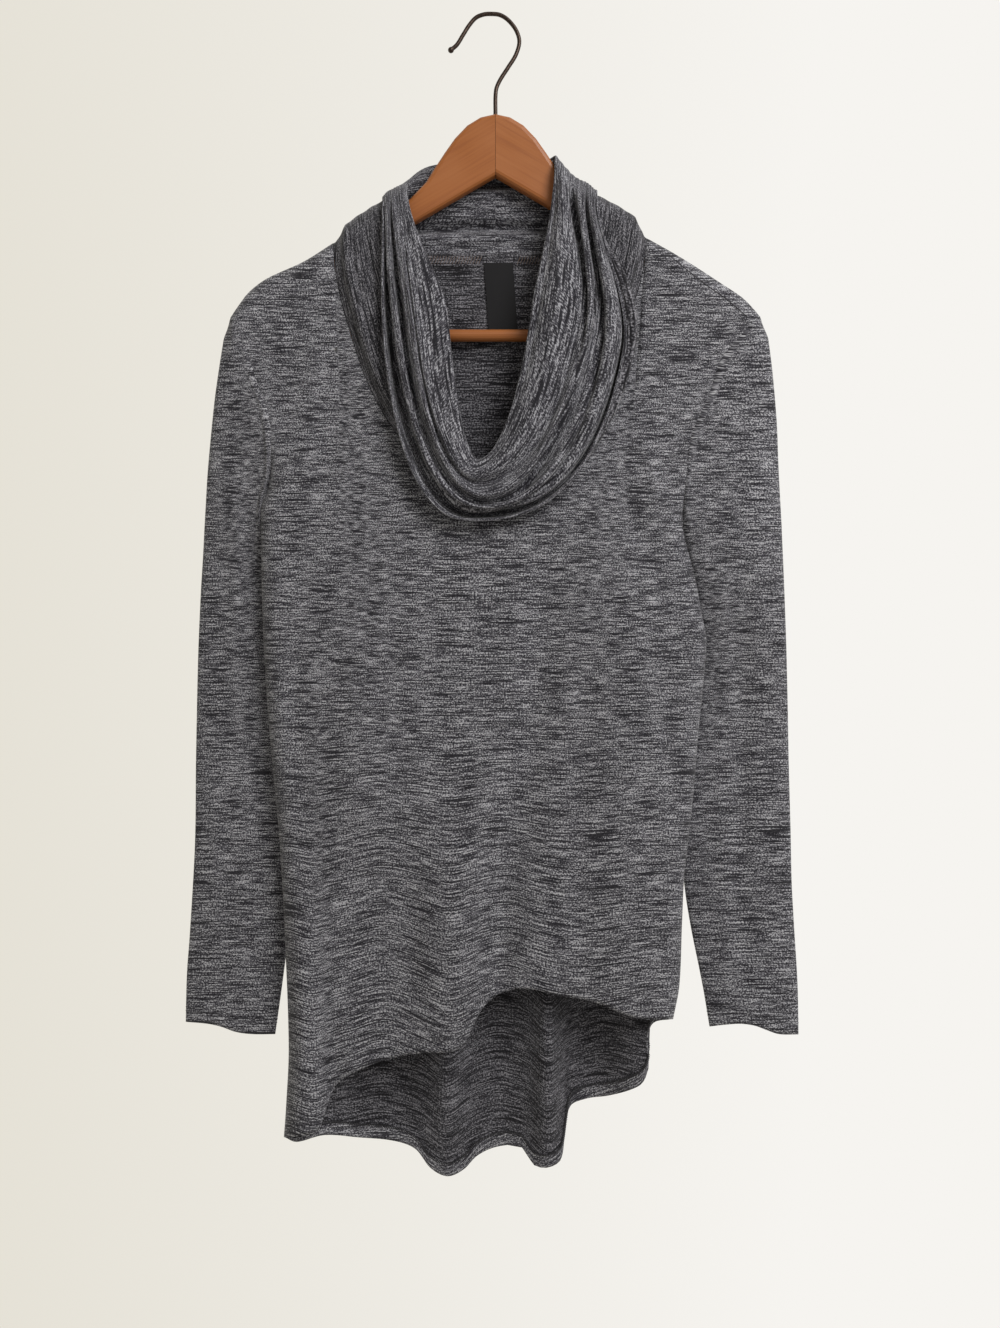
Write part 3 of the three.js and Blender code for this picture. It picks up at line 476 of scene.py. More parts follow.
def tube(name, path, radius, material, sides=10, closed=False, hint=(0.0, 1.0, 0.02)):
    """A round tube along a path of points (millimetres). The hint is a direction across the path."""
    path = np.asarray(path, float)
    ahead = np.roll(path, -1, axis=0) - np.roll(path, 1, axis=0)
    if not closed:
        ahead[0], ahead[-1] = path[1] - path[0], path[-1] - path[-2]
    ahead /= np.linalg.norm(ahead, axis=1, keepdims=True)
    first = np.cross(ahead, hint)
    first /= np.linalg.norm(first, axis=1, keepdims=True)
    second = np.cross(first, ahead)
    angle = np.linspace(0, 2 * math.pi, sides, endpoint=False)
    size = np.broadcast_to(np.asarray(radius, float), (len(path),))[:, None, None]
    ring = np.cos(angle)[None, :, None] * first[:, None] + np.sin(angle)[None, :, None] * second[:, None]
    grid = path[:, None] + ring * size
    rows, cols = grid.shape[:2]
    if closed:
        grid = np.concatenate([grid, grid[:1]])
        rows += 1
    corners = grid_quads(rows, cols, True)
    total = rows - 1 if closed else rows
    quads = np.stack([(r % total) * cols + c % cols for r, c in corners], axis=-1)
    length = np.concatenate([run_along(path), [0]])[:rows]
    length[-1] = length[-2] + 1 if closed else length[-1]
    around = np.arange(cols + 1) * 2 * math.pi * float(np.mean(size)) / cols
    uvs = np.stack([np.stack([length[r], around[c]], axis=-1) for r, c in corners], axis=1)
    return mesh_object(name, grid[:total].reshape(-1, 3), quads, uvs, (material,))


def scatter(name, centres, along, up, shape, material):
    """Repeats one small closed body at many places. Shape is (points, quads) in along, up and out units."""
    points, quads = shape
    out = np.cross(along, up)
    axes = np.stack([along, up, out], axis=1)
    every = centres[:, None] + np.einsum("pk,nkj->npj", points, axes)
    joined_quads = (quads[None] + (np.arange(len(centres)) * len(points))[:, None, None]).reshape(-1, 4)
    uvs = np.repeat(centres[:, None, [0, 2]], quads.size, axis=1).reshape(-1, 2)
    return mesh_object(name, every.reshape(-1, 3), joined_quads, uvs, (material,))


def stitch_shape(length, width, height):
    """One stitch: a low rounded dash, as rings of six points drawn in at both ends."""
    along = np.array([-0.5, -0.42, -0.2, 0.2, 0.42, 0.5]) * length
    swell = np.array([0.15, 0.7, 1.0, 1.0, 0.7, 0.15])
    angle = np.arange(6) * math.pi / 3
    rings = np.stack([np.broadcast_to(along[:, None], (6, 6)), swell[:, None] * np.cos(angle) * width / 2,
                      swell[:, None] * np.sin(angle) * height / 2], axis=-1)
    caps = np.array([[0, 1, 2, 3], [3, 4, 5, 0], [33, 32, 31, 30], [30, 35, 34, 33]])
    return rings.reshape(-1, 3), np.concatenate([ring_quads(6, 6), caps])


# Materials

def node(tree, kind, inputs=None, output=0, **settings):
    """Adds a node with its properties and inputs. Gives one of its outputs, or with None the node itself."""
    made = tree.nodes.new("ShaderNode" + kind)
    for key, value in settings.items():
        setattr(made, key, value)
    for key, value in (inputs or {}).items():
        socket = made.inputs[key]
        if isinstance(value, bpy.types.NodeSocket):
            tree.links.new(value, socket)
        else:
            socket.default_value = value
    return made if output is None else made.outputs[output]


def blank_material(name):
    """A new material and its empty tree."""
    material = bpy.data.materials.new(name)
    material.use_nodes = True
    material.node_tree.nodes.clear()
    return material, material.node_tree


def finish_with(tree, inputs):
    """Ends a material's tree in a shader with these inputs."""
    node(tree, "OutputMaterial", {"Surface": node(tree, "BsdfPrincipled", inputs)}, None)


def ramp(tree, factor, stops):
    """A colour ramp through (place, colour) stops."""
    made = node(tree, "ValToRGB", {"Fac": factor}, None)
    while len(made.color_ramp.elements) < len(stops):
        made.color_ramp.elements.new(0.5)
    for element, (at, colour) in zip(made.color_ramp.elements, stops):
        element.position = at
        element.color = (*colour, 1)
    return made.outputs["Color"]


def tinted(tree, factor, code, *stops):
    """A ramp of one colour. Each stop is its place and how many times as bright the colour is there."""
    return ramp(tree, factor, [(at, tuple(times * v for v in linear(code))) for at, times in stops])


def stretched_noise(tree, source, wide, tall, offset):
    """Noise on cloth coordinates, with waves so many millimetres wide and tall."""
    where = node(tree, "Mapping", {"Vector": source, "Scale": (1 / wide, 1 / tall, 1),
                                   "Location": (offset, offset * 1.7, offset)})
    return node(tree, "TexNoise", {"Vector": where, "Scale": 1.0, "Detail": 1.0, "Roughness": 0.6},
                noise_dimensions="2D")


# The knit's noises: millimetres of a wave along and across the courses, and an offset of its own
KNIT_NOISES = {"grain": (1.5, 1.2, 41.7), "streak": (18, 1.15, 3.1), "band": (60, 7, 7.9),
               "slub": (46, 1.15, 17.3)}
KNIT_SHARES = {"grain": 0.55, "streak": 0.38, "band": 0.07}
SLUBS_IN_BANDS = 0.15
COURSE_PITCH = 1.1


def marled_knit(name, shades, depth=0.35):
    """Marled stretch jersey: a grey ground of mixed yarns with dark slubs along the courses and pale flecks.

    Slubs are 5 to 35 mm long and about 1 mm thick, and stand in loose clusters. Courses are 1.1 mm apart
    and the grain 1.2 mm, drawn a little coarser than the real 0.8 mm so that they show. The surface is matt
    with a slight fuzz.
    """
    material, tree = blank_material(name)
    uv = node(tree, "UVMap", uv_map="cloth")
    noises = {part: stretched_noise(tree, uv, *sizes) for part, sizes in KNIT_NOISES.items()}
    total = 0.0
    for part, share in KNIT_SHARES.items():
        total = node(tree, "Math", {0: noises[part], 1: share, 2: total}, operation="MULTIPLY_ADD")
    dark, ground, pale = (linear(code) for code in shades)
    yarns = ramp(tree, total, [(0.40, dark), (0.485, ground), (0.515, ground), (0.61, pale)])
    slub = node(tree, "Math", {0: noises["band"], 1: SLUBS_IN_BANDS, 2: noises["slub"]},
                operation="MULTIPLY_ADD")
    slub = node(tree, "MapRange", {"Value": slub, "From Min": 0.49, "From Max": 0.445, "To Max": 0.95})
    colour = node(tree, "Mix", {"Factor": slub, "A": yarns, "B": (*dark, 1)}, "Result", data_type="RGBA")
    course = node(tree, "TexWave", {"Vector": uv, "Scale": 2 * math.pi / 20 / COURSE_PITCH, "Distortion": 0.5,
                                    "Detail": 1.0}, "Fac", bands_direction="Y")
    height = node(tree, "Math", {0: course, 1: 0.35, 2: total}, operation="MULTIPLY_ADD")
    bump = node(tree, "Bump", {"Height": height, "Strength": depth, "Distance": 0.0006})
    finish_with(tree, {"Base Color": colour, "Normal": bump, "Roughness": 0.92, "IOR": 1.45,
                       "Specular IOR Level": 0.25, "Sheen Weight": 0.12, "Sheen Roughness": 0.5})
    return material


def sewing_thread(name, code):
    """Spun polyester thread: a fine twist, its sheen painted into the colour as small lighter glints."""
    material, tree = blank_material(name)
    where = node(tree, "TexCoord", output="Object")
    twist_and_glints = node(tree, "TexNoise", {"Vector": where, "Scale": 1600.0, "Detail": 1.0})
    # Painted glints: the twist's noise makes the colour darker and lighter in small spots, the light spots
    # standing for the sheen
    finish_with(tree, {"Base Color": tinted(tree, twist_and_glints, code, (0.3, 0.6), (0.7, 1.3)), "Roughness": 0.7})
    return material


def woven_satin(name, code):
    """Woven satin label: black, close floats across it, their shine along the weft painted into the colour as
    a lighter sheen.
    """
    material, tree = blank_material(name)
    where = node(tree, "TexCoord", output="Object")
    where = node(tree, "Mapping", {"Vector": where, "Scale": (900, 900, 2600)})
    floats_and_sheen = node(tree, "TexNoise", {"Vector": where, "Scale": 1.0, "Detail": 2.0})
    # Painted sheen: the floats' noise makes the colour up to 1.7 times as light along the weft
    finish_with(tree, {"Base Color": tinted(tree, floats_and_sheen, code, (0.3, 0.7), (0.75, 1.7)),
                       "Normal": node(tree, "Bump", {"Height": floats_and_sheen, "Strength": 0.3, "Distance": 0.0002}),
                       "Roughness": 0.6, "Specular IOR Level": 0.2})
    return material


def stained_wood(name, shades, turn):
    """Stained hardwood under satin lacquer: fine grain along the arm, with slow darker bands and small pores.

    The grain's lines are about 2 mm apart and 60 to 120 mm long. The lacquer evens the gloss.
    """
    material, tree = blank_material(name)
    where = node(tree, "TexCoord", output="Object")
    axes = node(tree, "Mapping", {"Vector": where, "Rotation": (0, turn, 0)})
    long_way = node(tree, "Mapping", {"Vector": axes, "Scale": (11, 160, 420)})
    grain = node(tree, "TexNoise", {"Vector": long_way, "Scale": 1.0, "Detail": 3.0, "Roughness": 0.55,
                                    "Distortion": 0.4})
    slow = node(tree, "TexNoise", {"Vector": axes, "Scale": 28.0, "Detail": 1.0})
    pores_way = node(tree, "Mapping", {"Vector": axes, "Scale": (160, 1300, 1700)})
    pores = node(tree, "TexNoise", {"Vector": pores_way, "Scale": 1.0, "Detail": 1.0})
    both = node(tree, "Math", {0: slow, 1: 0.55, 2: grain}, operation="MULTIPLY_ADD")
    places = (0.55, 0.75, 0.98)
    finish_with(tree, {
        "Base Color": ramp(tree, both, [(at, linear(code)) for at, code in zip(places, shades)]),
        "Roughness": node(tree, "MapRange", {"Value": slow, "From Min": 0.3, "From Max": 0.7, "To Min": 0.36,
                                             "To Max": 0.5}),
        "Normal": node(tree, "Bump", {"Height": pores, "Strength": 0.15, "Distance": 0.0003}),
        "IOR": 1.5, "Specular IOR Level": 0.3, "Coat Weight": 0.05, "Coat Roughness": 0.35})
    return material


def bronzed_steel(name, code):
    """Steel wire with a dark bronze plating: satin, with faint drawing marks and small worn spots."""
    material, tree = blank_material(name)
    where = node(tree, "TexCoord", output="Object")
    marks = node(tree, "TexNoise", {"Vector": where, "Scale": 900.0, "Detail": 2.0})
    rough = node(tree, "MapRange", {"Value": marks, "From Min": 0.3, "From Max": 0.7, "To Min": 0.3,
                                    "To Max": 0.45})
    finish_with(tree, {"Base Color": tinted(tree, marks, code, (0.35, 0.7), (0.72, 1.5)), "Roughness": rough,
                       "Metallic": 0.85})
    return material


# The garment's surfaces

# Cuts are closer together at the arm's tip, where the edge turns fast
SHOULDER_SHARES = np.concatenate([[0, 0.003, 0.012, 0.03, 0.06, 0.1, 0.15], np.linspace(0.2, 1, 17)])
TIP_SHARES = [0, 0.0008, 0.003, 0.007, 0.013, 0.021, 0.031, 0.043]
ARMHOLE_SHARES = np.concatenate([TIP_SHARES, np.linspace(0.06, 1, 48)])


def panel_top(face, neck_cuts):
    """The top edge of a body panel, left shoulder, neckline and right shoulder, with each point's column."""
    steps = NECK_STEPS[face]
    columns = 2 * SHOULDER_STEPS + steps
    left_x, left_z = curve_of(LEFT_SHOULDER)(SHOULDER_SHARES[:-1])
    right_x, right_z = curve_of(RIGHT_SHOULDER)(SHOULDER_SHARES[:-1])
    share = np.linspace(0, 1, steps * neck_cuts + 1)
    turn = (3 + 2 * share) % 4 if face == "front" else 3 - 2 * share
    neck_x, _, neck_z = collar_point(np.zeros_like(turn), turn, -SEAM_GAP)
    x = np.concatenate([left_x, neck_x, right_x[::-1]])
    z = np.concatenate([left_z, neck_z, right_z[::-1]])
    column = np.concatenate([SHOULDER_SHARES[:-1] * SHOULDER_STEPS, SHOULDER_STEPS + share * steps,
                             columns - SHOULDER_SHARES[:-1][::-1] * SHOULDER_STEPS])
    return x, z, column / columns


def panel_flat(face, neck_cuts, side_cuts):
    """The seen x and z of a body panel's grid, blended between its top edge, two side edges and hem."""
    top_x, top_z, share = panel_top(face, neck_cuts)
    sides = []
    for armhole, side in ((LEFT_ARMHOLE, LEFT_SIDE), (RIGHT_ARMHOLE, RIGHT_SIDE)):
        a_x, a_z = curve_of(armhole)(ARMHOLE_SHARES)
        s_x, s_z = curve_of(side)(np.linspace(0, 1, side_cuts + 1)[1:])
        x, z = np.concatenate([a_x, s_x]), np.concatenate([a_z, s_z])
        run = run_of(x, z)
        sides.append((x[:, None], z[:, None], (run / run[-1])[:, None]))
    (lx, lz, lrun), (rx, rz, rrun) = sides
    u = mix(share, (top_x - top_x[0]) / (top_x[-1] - top_x[0]), 0.5)[None, :]
    v = mix(lrun, rrun, u)
    if face == "front":
        hem_x = mix(FRONT_HEM["x"][0], FRONT_HEM["x"][-1], u)
        hem_z = line_of(FRONT_HEM, "x", "z")(hem_x)
    else:
        hem_x, hem_z = curve_of(BACK_HEM)(u)
    by_left, by_right = (1 - u) ** EDGE_PULL, u ** EDGE_PULL
    made = []
    for top, hem, left, right in ((top_x, hem_x, lx, rx), (top_z, hem_z, lz, rz)):
        from_left = by_left * (left - mix(left[0], left[-1], lrun))
        from_right = by_right * (right - mix(right[0], right[-1], rrun))
        made.append(mix(top, hem, v) + from_left + from_right)
    return made


def course_wave(rows, x, z):
    """How far the knit's courses rise or sink with the folds, growing towards the hem."""
    grow = smooth((COURSE_GROWTH["from"] - z) / COURSE_GROWTH["over"])
    return grow * sum(rise * bell(x - at, wide) for at, wide, rise in zip(*rows.values()))


def cloth_uv(grid, seen_x, seen_z, courses):
    """Cloth coordinates in millimetres: the run across from the middle, and the height less the courses."""
    across = run_along(grid.swapaxes(0, 1)).T
    middle = np.argmin(np.abs(seen_x[len(grid) // 2]))
    u = across - across[:, middle:middle + 1] + seen_x[:, middle:middle + 1]
    return np.stack([u, seen_z - course_wave(courses, seen_x, seen_z)], axis=-1)


# Fine creases of the body, laid over the main folds
FRONT_CREASES = table("topX topZ footX footZ fade out wide",
    (-150, -250, -176, -420, 60, 1.6, 10),
    (-128, -300, -168, -470, 70, -1.4, 9),
    (118, -330, 158, -470, 60, 1.5, 10),
    (100, -380, 150, -520, 60, -1.3, 9),
    (-60, -470, -84, -640, 80, 1.2, 12),
    (22, -500, 10, -700, 90, 1.2, 11),
    (84, -520, 70, -760, 100, -1.4, 12),
    (140, -560, 146, -760, 80, 1.3, 9),
    (-176, -520, -172, -700, 70, -1.2, 8),
    (-74, -720, -70, -900, 80, -1.5, 9),
    (64, -700, 58, -860, 70, 1.6, 9),
    (6, -730, 8, -870, 60, -1.6, 9))
BACK_CREASES = table("topX topZ footX footZ fade out wide",
    (-150, -260, -170, -440, 60, 1.6, 10),
    (140, -260, 160, -440, 60, 1.4, 11),
    (-20, -420, -14, -700, 110, 1.5, 12),
    (110, -520, 118, -820, 110, -1.6, 12),
    (-110, -560, -112, -900, 120, -1.8, 11),
    (24, -700, 25, -1000, 110, -3, 8),
    (-64, -760, -66, -1010, 100, -2.5, 7),
    (68, -760, 69, -960, 80, 3, 8),
    (118, -760, 120, -950, 70, -2.5, 9),
    (-20, -780, -22, -1000, 90, 2.5, 7))


def front_grid():
    """The front's wall as points, with its cloth coordinates."""
    x, z = panel_flat("front", 4, 116)
    grid = place(x, front_y(x, z, folds_at(FRONT_CREASES, x, z)) - SEAM_GAP / 2, z)
    return grid, cloth_uv(grid, x, z, FRONT_COURSES)


def back_grid():
    """The back's wall as points, its columns from right to left so that its normals point back."""
    x, z = panel_flat("back", 3, 130)
    grid = place(x, back_y(x, z, folds_at(BACK_CREASES, x, z)) + SEAM_GAP / 2, z)
    return grid[:, ::-1], cloth_uv(grid, x, z, BACK_COURSES)[:, ::-1]


# Hems and seams: heights above the cloth's edge, and stitches as pitch, lean and length, width and height
HEM = 12.0
HEM_LIFTS = np.array([HEM, 11.3, 9.0, 6.0, 3.0, 0.6])
HEM_LEAN = {"along": 0.45, "up": 0.12, "from": 500}
HEM_THICK = 1.0
HEM_CLEAR = 0.6
TWIN_NEEDLE = (13.6, 10.2)
STITCH_PROUD = 0.1
HEM_STITCH = {"pitch": 3.2, "lean": 0.0, "shape": (2.5, 0.7, 0.5)}
HEM_OVERLOCK = {"pitch": 1.5, "lean": 1.15, "shape": (3.2, 1.0, 0.7)}
NECK_OVERLOCK = {"pitch": 2.6, "lean": 1.2, "shape": (8.5, 0.55, 0.5)}
NECK_BAND = {"half": 76, "y": 8.15, "thick": 0.3, "stitch_y": 7.75, "stitch_z": -213.6, "uv_from": 900}
NECK_BAND_ROWS = np.array([-208.0, -211, -214, -217, -219.5])
LABEL_SIDES = {"left": -10, "right": 18}
OFF_SEAMS = slice(3, -3)
SHOULDER_SEAM = table("x z", (150, -207.5), (166, -221), (184, -235), (203, -248.5), (220, -263))
SEAM_LINE_RADIUS = 0.4
EDGE_ROLL = 1.3


def row_above(grid, lift, field=None):
    """The line an even height above a panel's last row, measured up the cloth, or a field's values on it."""
    up = grid[::-1]
    run = run_along(up)
    above = np.clip((run < lift).sum(axis=0), 1, len(run) - 1)
    column = np.arange(up.shape[1])
    low, high = run[above - 1, column], run[above, column]
    share = ((lift - low) / (high - low))[:, None]
    values = up if field is None else field[::-1]
    return mix(values[above - 1, column], values[above, column], share)


def hem_band(name, grid, inset, material):
    """The turned-up hem on the inside of a piece: a strip as tall as HEM, moved inwards along the normals.

    The streaks lean on the turned band, as its courses follow the other side of the fold.
    """
    band = np.stack([row_above(grid, lift) for lift in HEM_LIFTS])
    band = (band - normals_of(band, False) * inset)[:, OFF_SEAMS]
    run = run_along(band[0])[None, :]
    up = HEM_LIFTS[:, None]
    uv = np.stack([run + HEM_LEAN["along"] * up, up + HEM_LEAN["up"] * run + HEM_LEAN["from"]], axis=-1)
    return shell(name, band, uv, False, HEM_THICK, material, material)


def stitches_along(name, line, out, material, pitch, lean, shape):
    """Stitches at an even pitch along a line, each turned from it by the lean angle, flat on the cloth."""
    run = run_along(line)
    at = np.arange(pitch / 2, run[-1], pitch)
    centre, away, further, nearer = (
        np.stack([np.interp(places, run, values[:, k]) for k in range(3)], axis=-1)
        for places, values in ((at, line), (at, out), (at + 0.5, line), (at - 0.5, line)))
    ahead = further - nearer
    ahead /= np.linalg.norm(ahead, axis=1, keepdims=True)
    side = np.cross(away, ahead)
    side /= np.linalg.norm(side, axis=1, keepdims=True)
    along = math.cos(lean) * ahead + math.sin(lean) * side
    up = np.cross(np.cross(ahead, side), along)
    return scatter(name, centre, along, up, stitch_shape(*shape), material)


def twin_needle(name, grid, thick, material, part=slice(None)):
    """Two rows of stitches above a hem on the cloth's face."""
    made = []
    normal = normals_of(grid, False)
    for i, lift in enumerate(TWIN_NEEDLE):
        out = row_above(grid, lift, normal)
        line = row_above(grid, lift) + out * (thick / 2 + STITCH_PROUD)
        made.append(stitches_along(f"{name}_{i + 1}", line[part], out[part], material, **HEM_STITCH))
    return made


# Creases of the collar: each runs along the loops from one turn to another, 0 at the bottom of the front,
# 1 over the right shoulder, -1 over the left and 2 behind the neck. Row is its place at both ends between
# the neck seam, 0, and the free edge, 11. Wide is in rows.
COLLAR_CREASES = table("from to rowFrom rowTo wide out fade",
    (-0.97, 0.25, 10.15, 10.3, 0.44, -9.5, 0.4),
    (-0.25, 0.97, 10.35, 10.4, 0.36, -11, 0.4),
    (1.2, 2.8, 10.4, 10.4, 0.3, -4, 0.35),
    (-0.95, 0.95, 9.3, 9.3, 0.5, 2, 0.3),
    (-0.2, 0.97, 9.7, 7.95, 0.26, -9, 0.2),
    (-0.42, 0.97, 9.1, 5.9, 0.3, -9.5, 0.2),
    (-0.97, 0.02, 7.6, 8.6, 0.32, -8, 0.22),
    (-0.93, -0.08, 5.3, 6.6, 0.26, -6, 0.22),
    (-0.95, -0.1, 5.9, 6.9, 0.8, 2.5, 0.3),
    (0, 0.95, 5.4, 4.9, 0.55, 2.4, 0.3),
    (0.1, 0.95, 7.2, 7, 0.45, 2.2, 0.3),
    (-0.05, 0.95, 8.9, 8.9, 0.4, 1.8, 0.3),
    (-0.95, -0.2, 4.9, 4.6, 0.25, -3, 0.2),
    (0.25, 0.95, 4.35, 4.45, 0.16, -2.5, 0.2),
    (-1, -0.15, 0.9, 1.1, 0.2, -3, 0.3),
    (-1, -0.2, 1.7, 2, 0.22, 2, 0.3),
    (-1, -0.25, 2.5, 2.4, 0.18, -3, 0.3),
    (0.15, 1, 1, 0.8, 0.2, -3, 0.3),
    (0.2, 1, 1.8, 1.9, 0.22, 2, 0.3),
    (0.3, 1, 2.6, 2.3, 0.2, -3, 0.3),
    (1.25, 2.8, 1.55, 1.3, 0.17, -9, 0.3),
    (1.55, 2.9, 3.1, 1.75, 0.18, -9.5, 0.3),
    (1.15, 2.3, 2, 3.2, 0.18, -8, 0.3),
    (1.3, 2.9, 1.05, 1, 0.2, 2.5, 0.3),
    (1.6, 2.9, 2.7, 1.6, 0.22, 2, 0.3),
    (1.2, 2.2, 2.1, 2.7, 0.22, 1.6, 0.25),
    (1.3, 2.7, 7.3, 6.8, 0.4, -3, 0.35),
    (1.4, 2.8, 8.8, 9.2, 0.4, -2.5, 0.35),
    (0.05, 0.8, 1.2, 3.2, 0.3, -3, 0.2))


def collar_crease(row, turn):
    """How far the collar's creases stand out: bells across the rows, faded in and out along the loop."""
    t = (turn + 2) % 4 - 2
    out = 0.25 * np.sin(2 * math.pi * (1.7 * row + 0.5 * np.sin(2.2 * t)) + 3 * t) * smooth(row / 0.5)
    for start, end, row_from, row_to, wide, height, fade in zip(*COLLAR_CREASES.values()):
        s = np.where((end > 2) & (t < 0), t + 4, t)
        centre = mix(row_from, row_to, smooth((s - start) / (end - start)))
        out = out + height * faded(s, end, start, fade) * bell(row - centre, wide)
    return out


def collar_grid(row_cuts, turn_cuts):
    """The collar's wall: its table's rows and rows between them, round the neck from the back's middle."""
    row = np.linspace(0, 11, 11 * row_cuts + 1)[:, None]
    turn = ((2 + 4 * np.arange(4 * turn_cuts) / (4 * turn_cuts)) % 4)[None, :]
    row, turn = np.broadcast_arrays(row, turn)
    x, y, z = collar_point(row, turn, np.where(row == 0, SEAM_EASE, 0.0))
    body = np.where(y > 0, back_y(x, z), front_y(x, z))
    grid = place(x, mix(body, y, smooth(row)), z)
    grid = grid + normals_of(grid, True) * collar_crease(row, turn)[..., None]
    x, y, z = np.moveaxis(grid, -1, 0)
    # Behind the hanger's arms the cloth stays clear of the wood
    over_wood = (y > 2) & (z < hanger_top(np.abs(x)) + WOOD_CLEAR)
    grid[..., 1] = np.where(over_wood, np.maximum(y, HANGER_HALF_THICK + WOOD_CLEAR), y)
    u = run_round(grid)
    u = u - u[:, 2 * turn_cuts:2 * turn_cuts + 1]
    up = np.linalg.norm(np.diff(grid, axis=0), axis=-1).mean(axis=1)
    v = np.broadcast_to(np.concatenate([[0], np.cumsum(up)])[:, None], u.shape)
    return grid, np.stack([u, v], axis=-1)


def sleeve_grid(armhole, rows, cuff, side, row_cuts, station_cuts):
    """A sleeve's wall: loops from the armhole seam to the cuff, each from the inner fold round the arm."""
    count = len(ARMHOLE_STEPS) - 1
    steps = {"i": np.arange(count + 1.0), "share": np.array(ARMHOLE_STEPS, float)}
    share_at = line_of(steps, "i", "share")
    half_loop = np.linspace(count, 0, station_cuts + 1)
    station = np.concatenate([half_loop, half_loop[-2:0:-1]])[None, :]
    face = np.concatenate([np.full(station_cuts + 1, -1.0), np.full(station_cuts - 1, 1.0)])[None, :]
    share = share_at(station)
    turn = math.pi * station / count
    start_x, start_z = curve_of(armhole)(share)
    out, inner, mid, half = (line_of(rows, "z", name) for name in ("out", "in", "mid", "half"))
    to_inner = (1 - np.cos(turn)) / 2
    at_tip = 2 * SEAM_EASE * (1 - smooth(share / 0.06))
    clear = SEAM_GAP + SEAM_EASE
    away = at_tip + mix(clear, clear + CLOTH + SEAM_EASE, smooth((share - 0.45) / 0.4))
    seam_x = start_x + side * away
    cuff_z = line_of(cuff, "x", "z")(mix(out(SLEEVE_FOOT), inner(SLEEVE_FOOT), to_inner))
    down = (np.arange(row_cuts + 1) / row_cuts)[:, None] ** SLEEVE_CROWDING
    z = mix(start_z, cuff_z, down)
    drop = start_z - z
    target = mix(out(z), inner(z), to_inner)
    blend_over = SLEEVE_BLEND["tip"] + SLEEVE_BLEND["middle"] * np.sin(turn)
    eased = mix(seam_x, target, smooth(drop / blend_over))
    inmost = mix(inner(z), target, SLEEVE_BLEND["inmost"])
    x = np.where(down > 0, side * np.maximum(side * eased, side * inmost), seam_x)
    x = x - side * (sleeve_tuck(side, z) * to_inner ** 2 + SEAM_TUCK * np.exp(-drop / 3))
    body_y = np.where(face < 0, front_y(start_x, start_z), back_y(start_x, start_z))
    tube_y = mid(z) + face * half(z) * np.maximum(0, np.sin(turn)) ** 0.75
    y = mix(body_y, tube_y, smooth(drop / SLEEVE_BLEND["depth"]))
    y = y + face * np.sin(turn) * sleeve_creases(side, x, z)
    grid = place(x, y, z)
    if side < 0:
        grid = np.roll(grid[:, ::-1], 1, axis=1)
        z = np.roll(z[:, ::-1], 1, axis=1)
    return grid, np.stack([run_round(grid), np.concatenate([z, z[:, :1]], axis=1)], axis=-1)


SEAM_TUCK = 1.5
UNDERARM_TUCK = table("side z wide deep",
    (-1, -452, 34, 5), (1, -430, 60, 5.5), (1, -545, 75, 6))


def sleeve_tuck(side, z):
    """How far a sleeve's inner fold is tucked behind the body near the underarm, as bell-shaped bumps."""
    deep = 0.0
    for at_side, at, wide, most in zip(*UNDERARM_TUCK.values()):
        deep = deep + (at_side == side) * most * bell(z - at, wide)
    return deep


SLEEVE_CREASES = table("side x topZ footZ fade out wide",
    (1, 215, -440, -860, 120, -3.2, 11),
    (1, 249, -440, -860, 120, 1.6, 8),
    (1, 230, -330, -480, 80, 1.8, 10),
    (1, 200, -640, -860, 90, 1.3, 8),
    (-1, -226, -360, -620, 110, 1.6, 9),
    (-1, -206, -560, -820, 110, -1.3, 9),
    (-1, -244, -640, -860, 90, 1.2, 8))


def sleeve_creases(side, x, z):
    """Long shallow creases down a sleeve."""
    out = 0.0
    for at_side, at, top_z, foot_z, fade, height, wide in zip(*SLEEVE_CREASES.values()):
        out = out + (at_side == side) * height * faded(z, top_z, foot_z, fade) * bell(x - at, wide)
    return out


# Settings shown in the sidebar

class TunicCloth(bpy.types.PropertyGroup):
    thickness: bpy.props.FloatProperty(
        name="Cloth thickness", description="Thickness of the knit, shown a little fuller than flat",
        default=0.0012, min=0.0004, max=0.003, unit="LENGTH", subtype="DISTANCE")
    slub: bpy.props.StringProperty(
        name="Dark slub", description="Colour of the dark slubs in the yarn, sRGB hex", default="#1B1A1F")
    ground: bpy.props.StringProperty(
        name="Ground", description="Colour of the mixed yarns, sRGB hex", default="#504F55")
    fleck: bpy.props.StringProperty(
        name="Pale fleck", description="Colour of the pale flecks, sRGB hex", default="#A4A4A8")


class TunicHanger(bpy.types.PropertyGroup):
    wood: bpy.props.StringProperty(
        name="Wood", description="Colour of the stained wood, sRGB hex", default="#8F5529")
    wire: bpy.props.StringProperty(
        name="Wire", description="Colour of the plated wire, sRGB hex", default="#3A302A")


class TunicStage(bpy.types.PropertyGroup):
    distance: bpy.props.FloatProperty(
        name="Camera distance", description="From the lens to the plane of the garment",
        default=EYE["away"] / 1000, min=0.3, max=5.0, unit="LENGTH", subtype="DISTANCE")
    seen_height: bpy.props.FloatProperty(
        name="Seen height", description="Height of the picture in the plane of the garment",
        default=1.162, min=0.2, max=5.0, unit="LENGTH", subtype="DISTANCE")
    key_power: bpy.props.FloatProperty(
        name="Key light", description="Power of the large light at the right", default=46.0, min=0.0,
        unit="POWER")


def shared(make, name, *colours):
    """A material made once and shared by every piece."""
    return bpy.data.materials.get(name) or make(name, *colours)


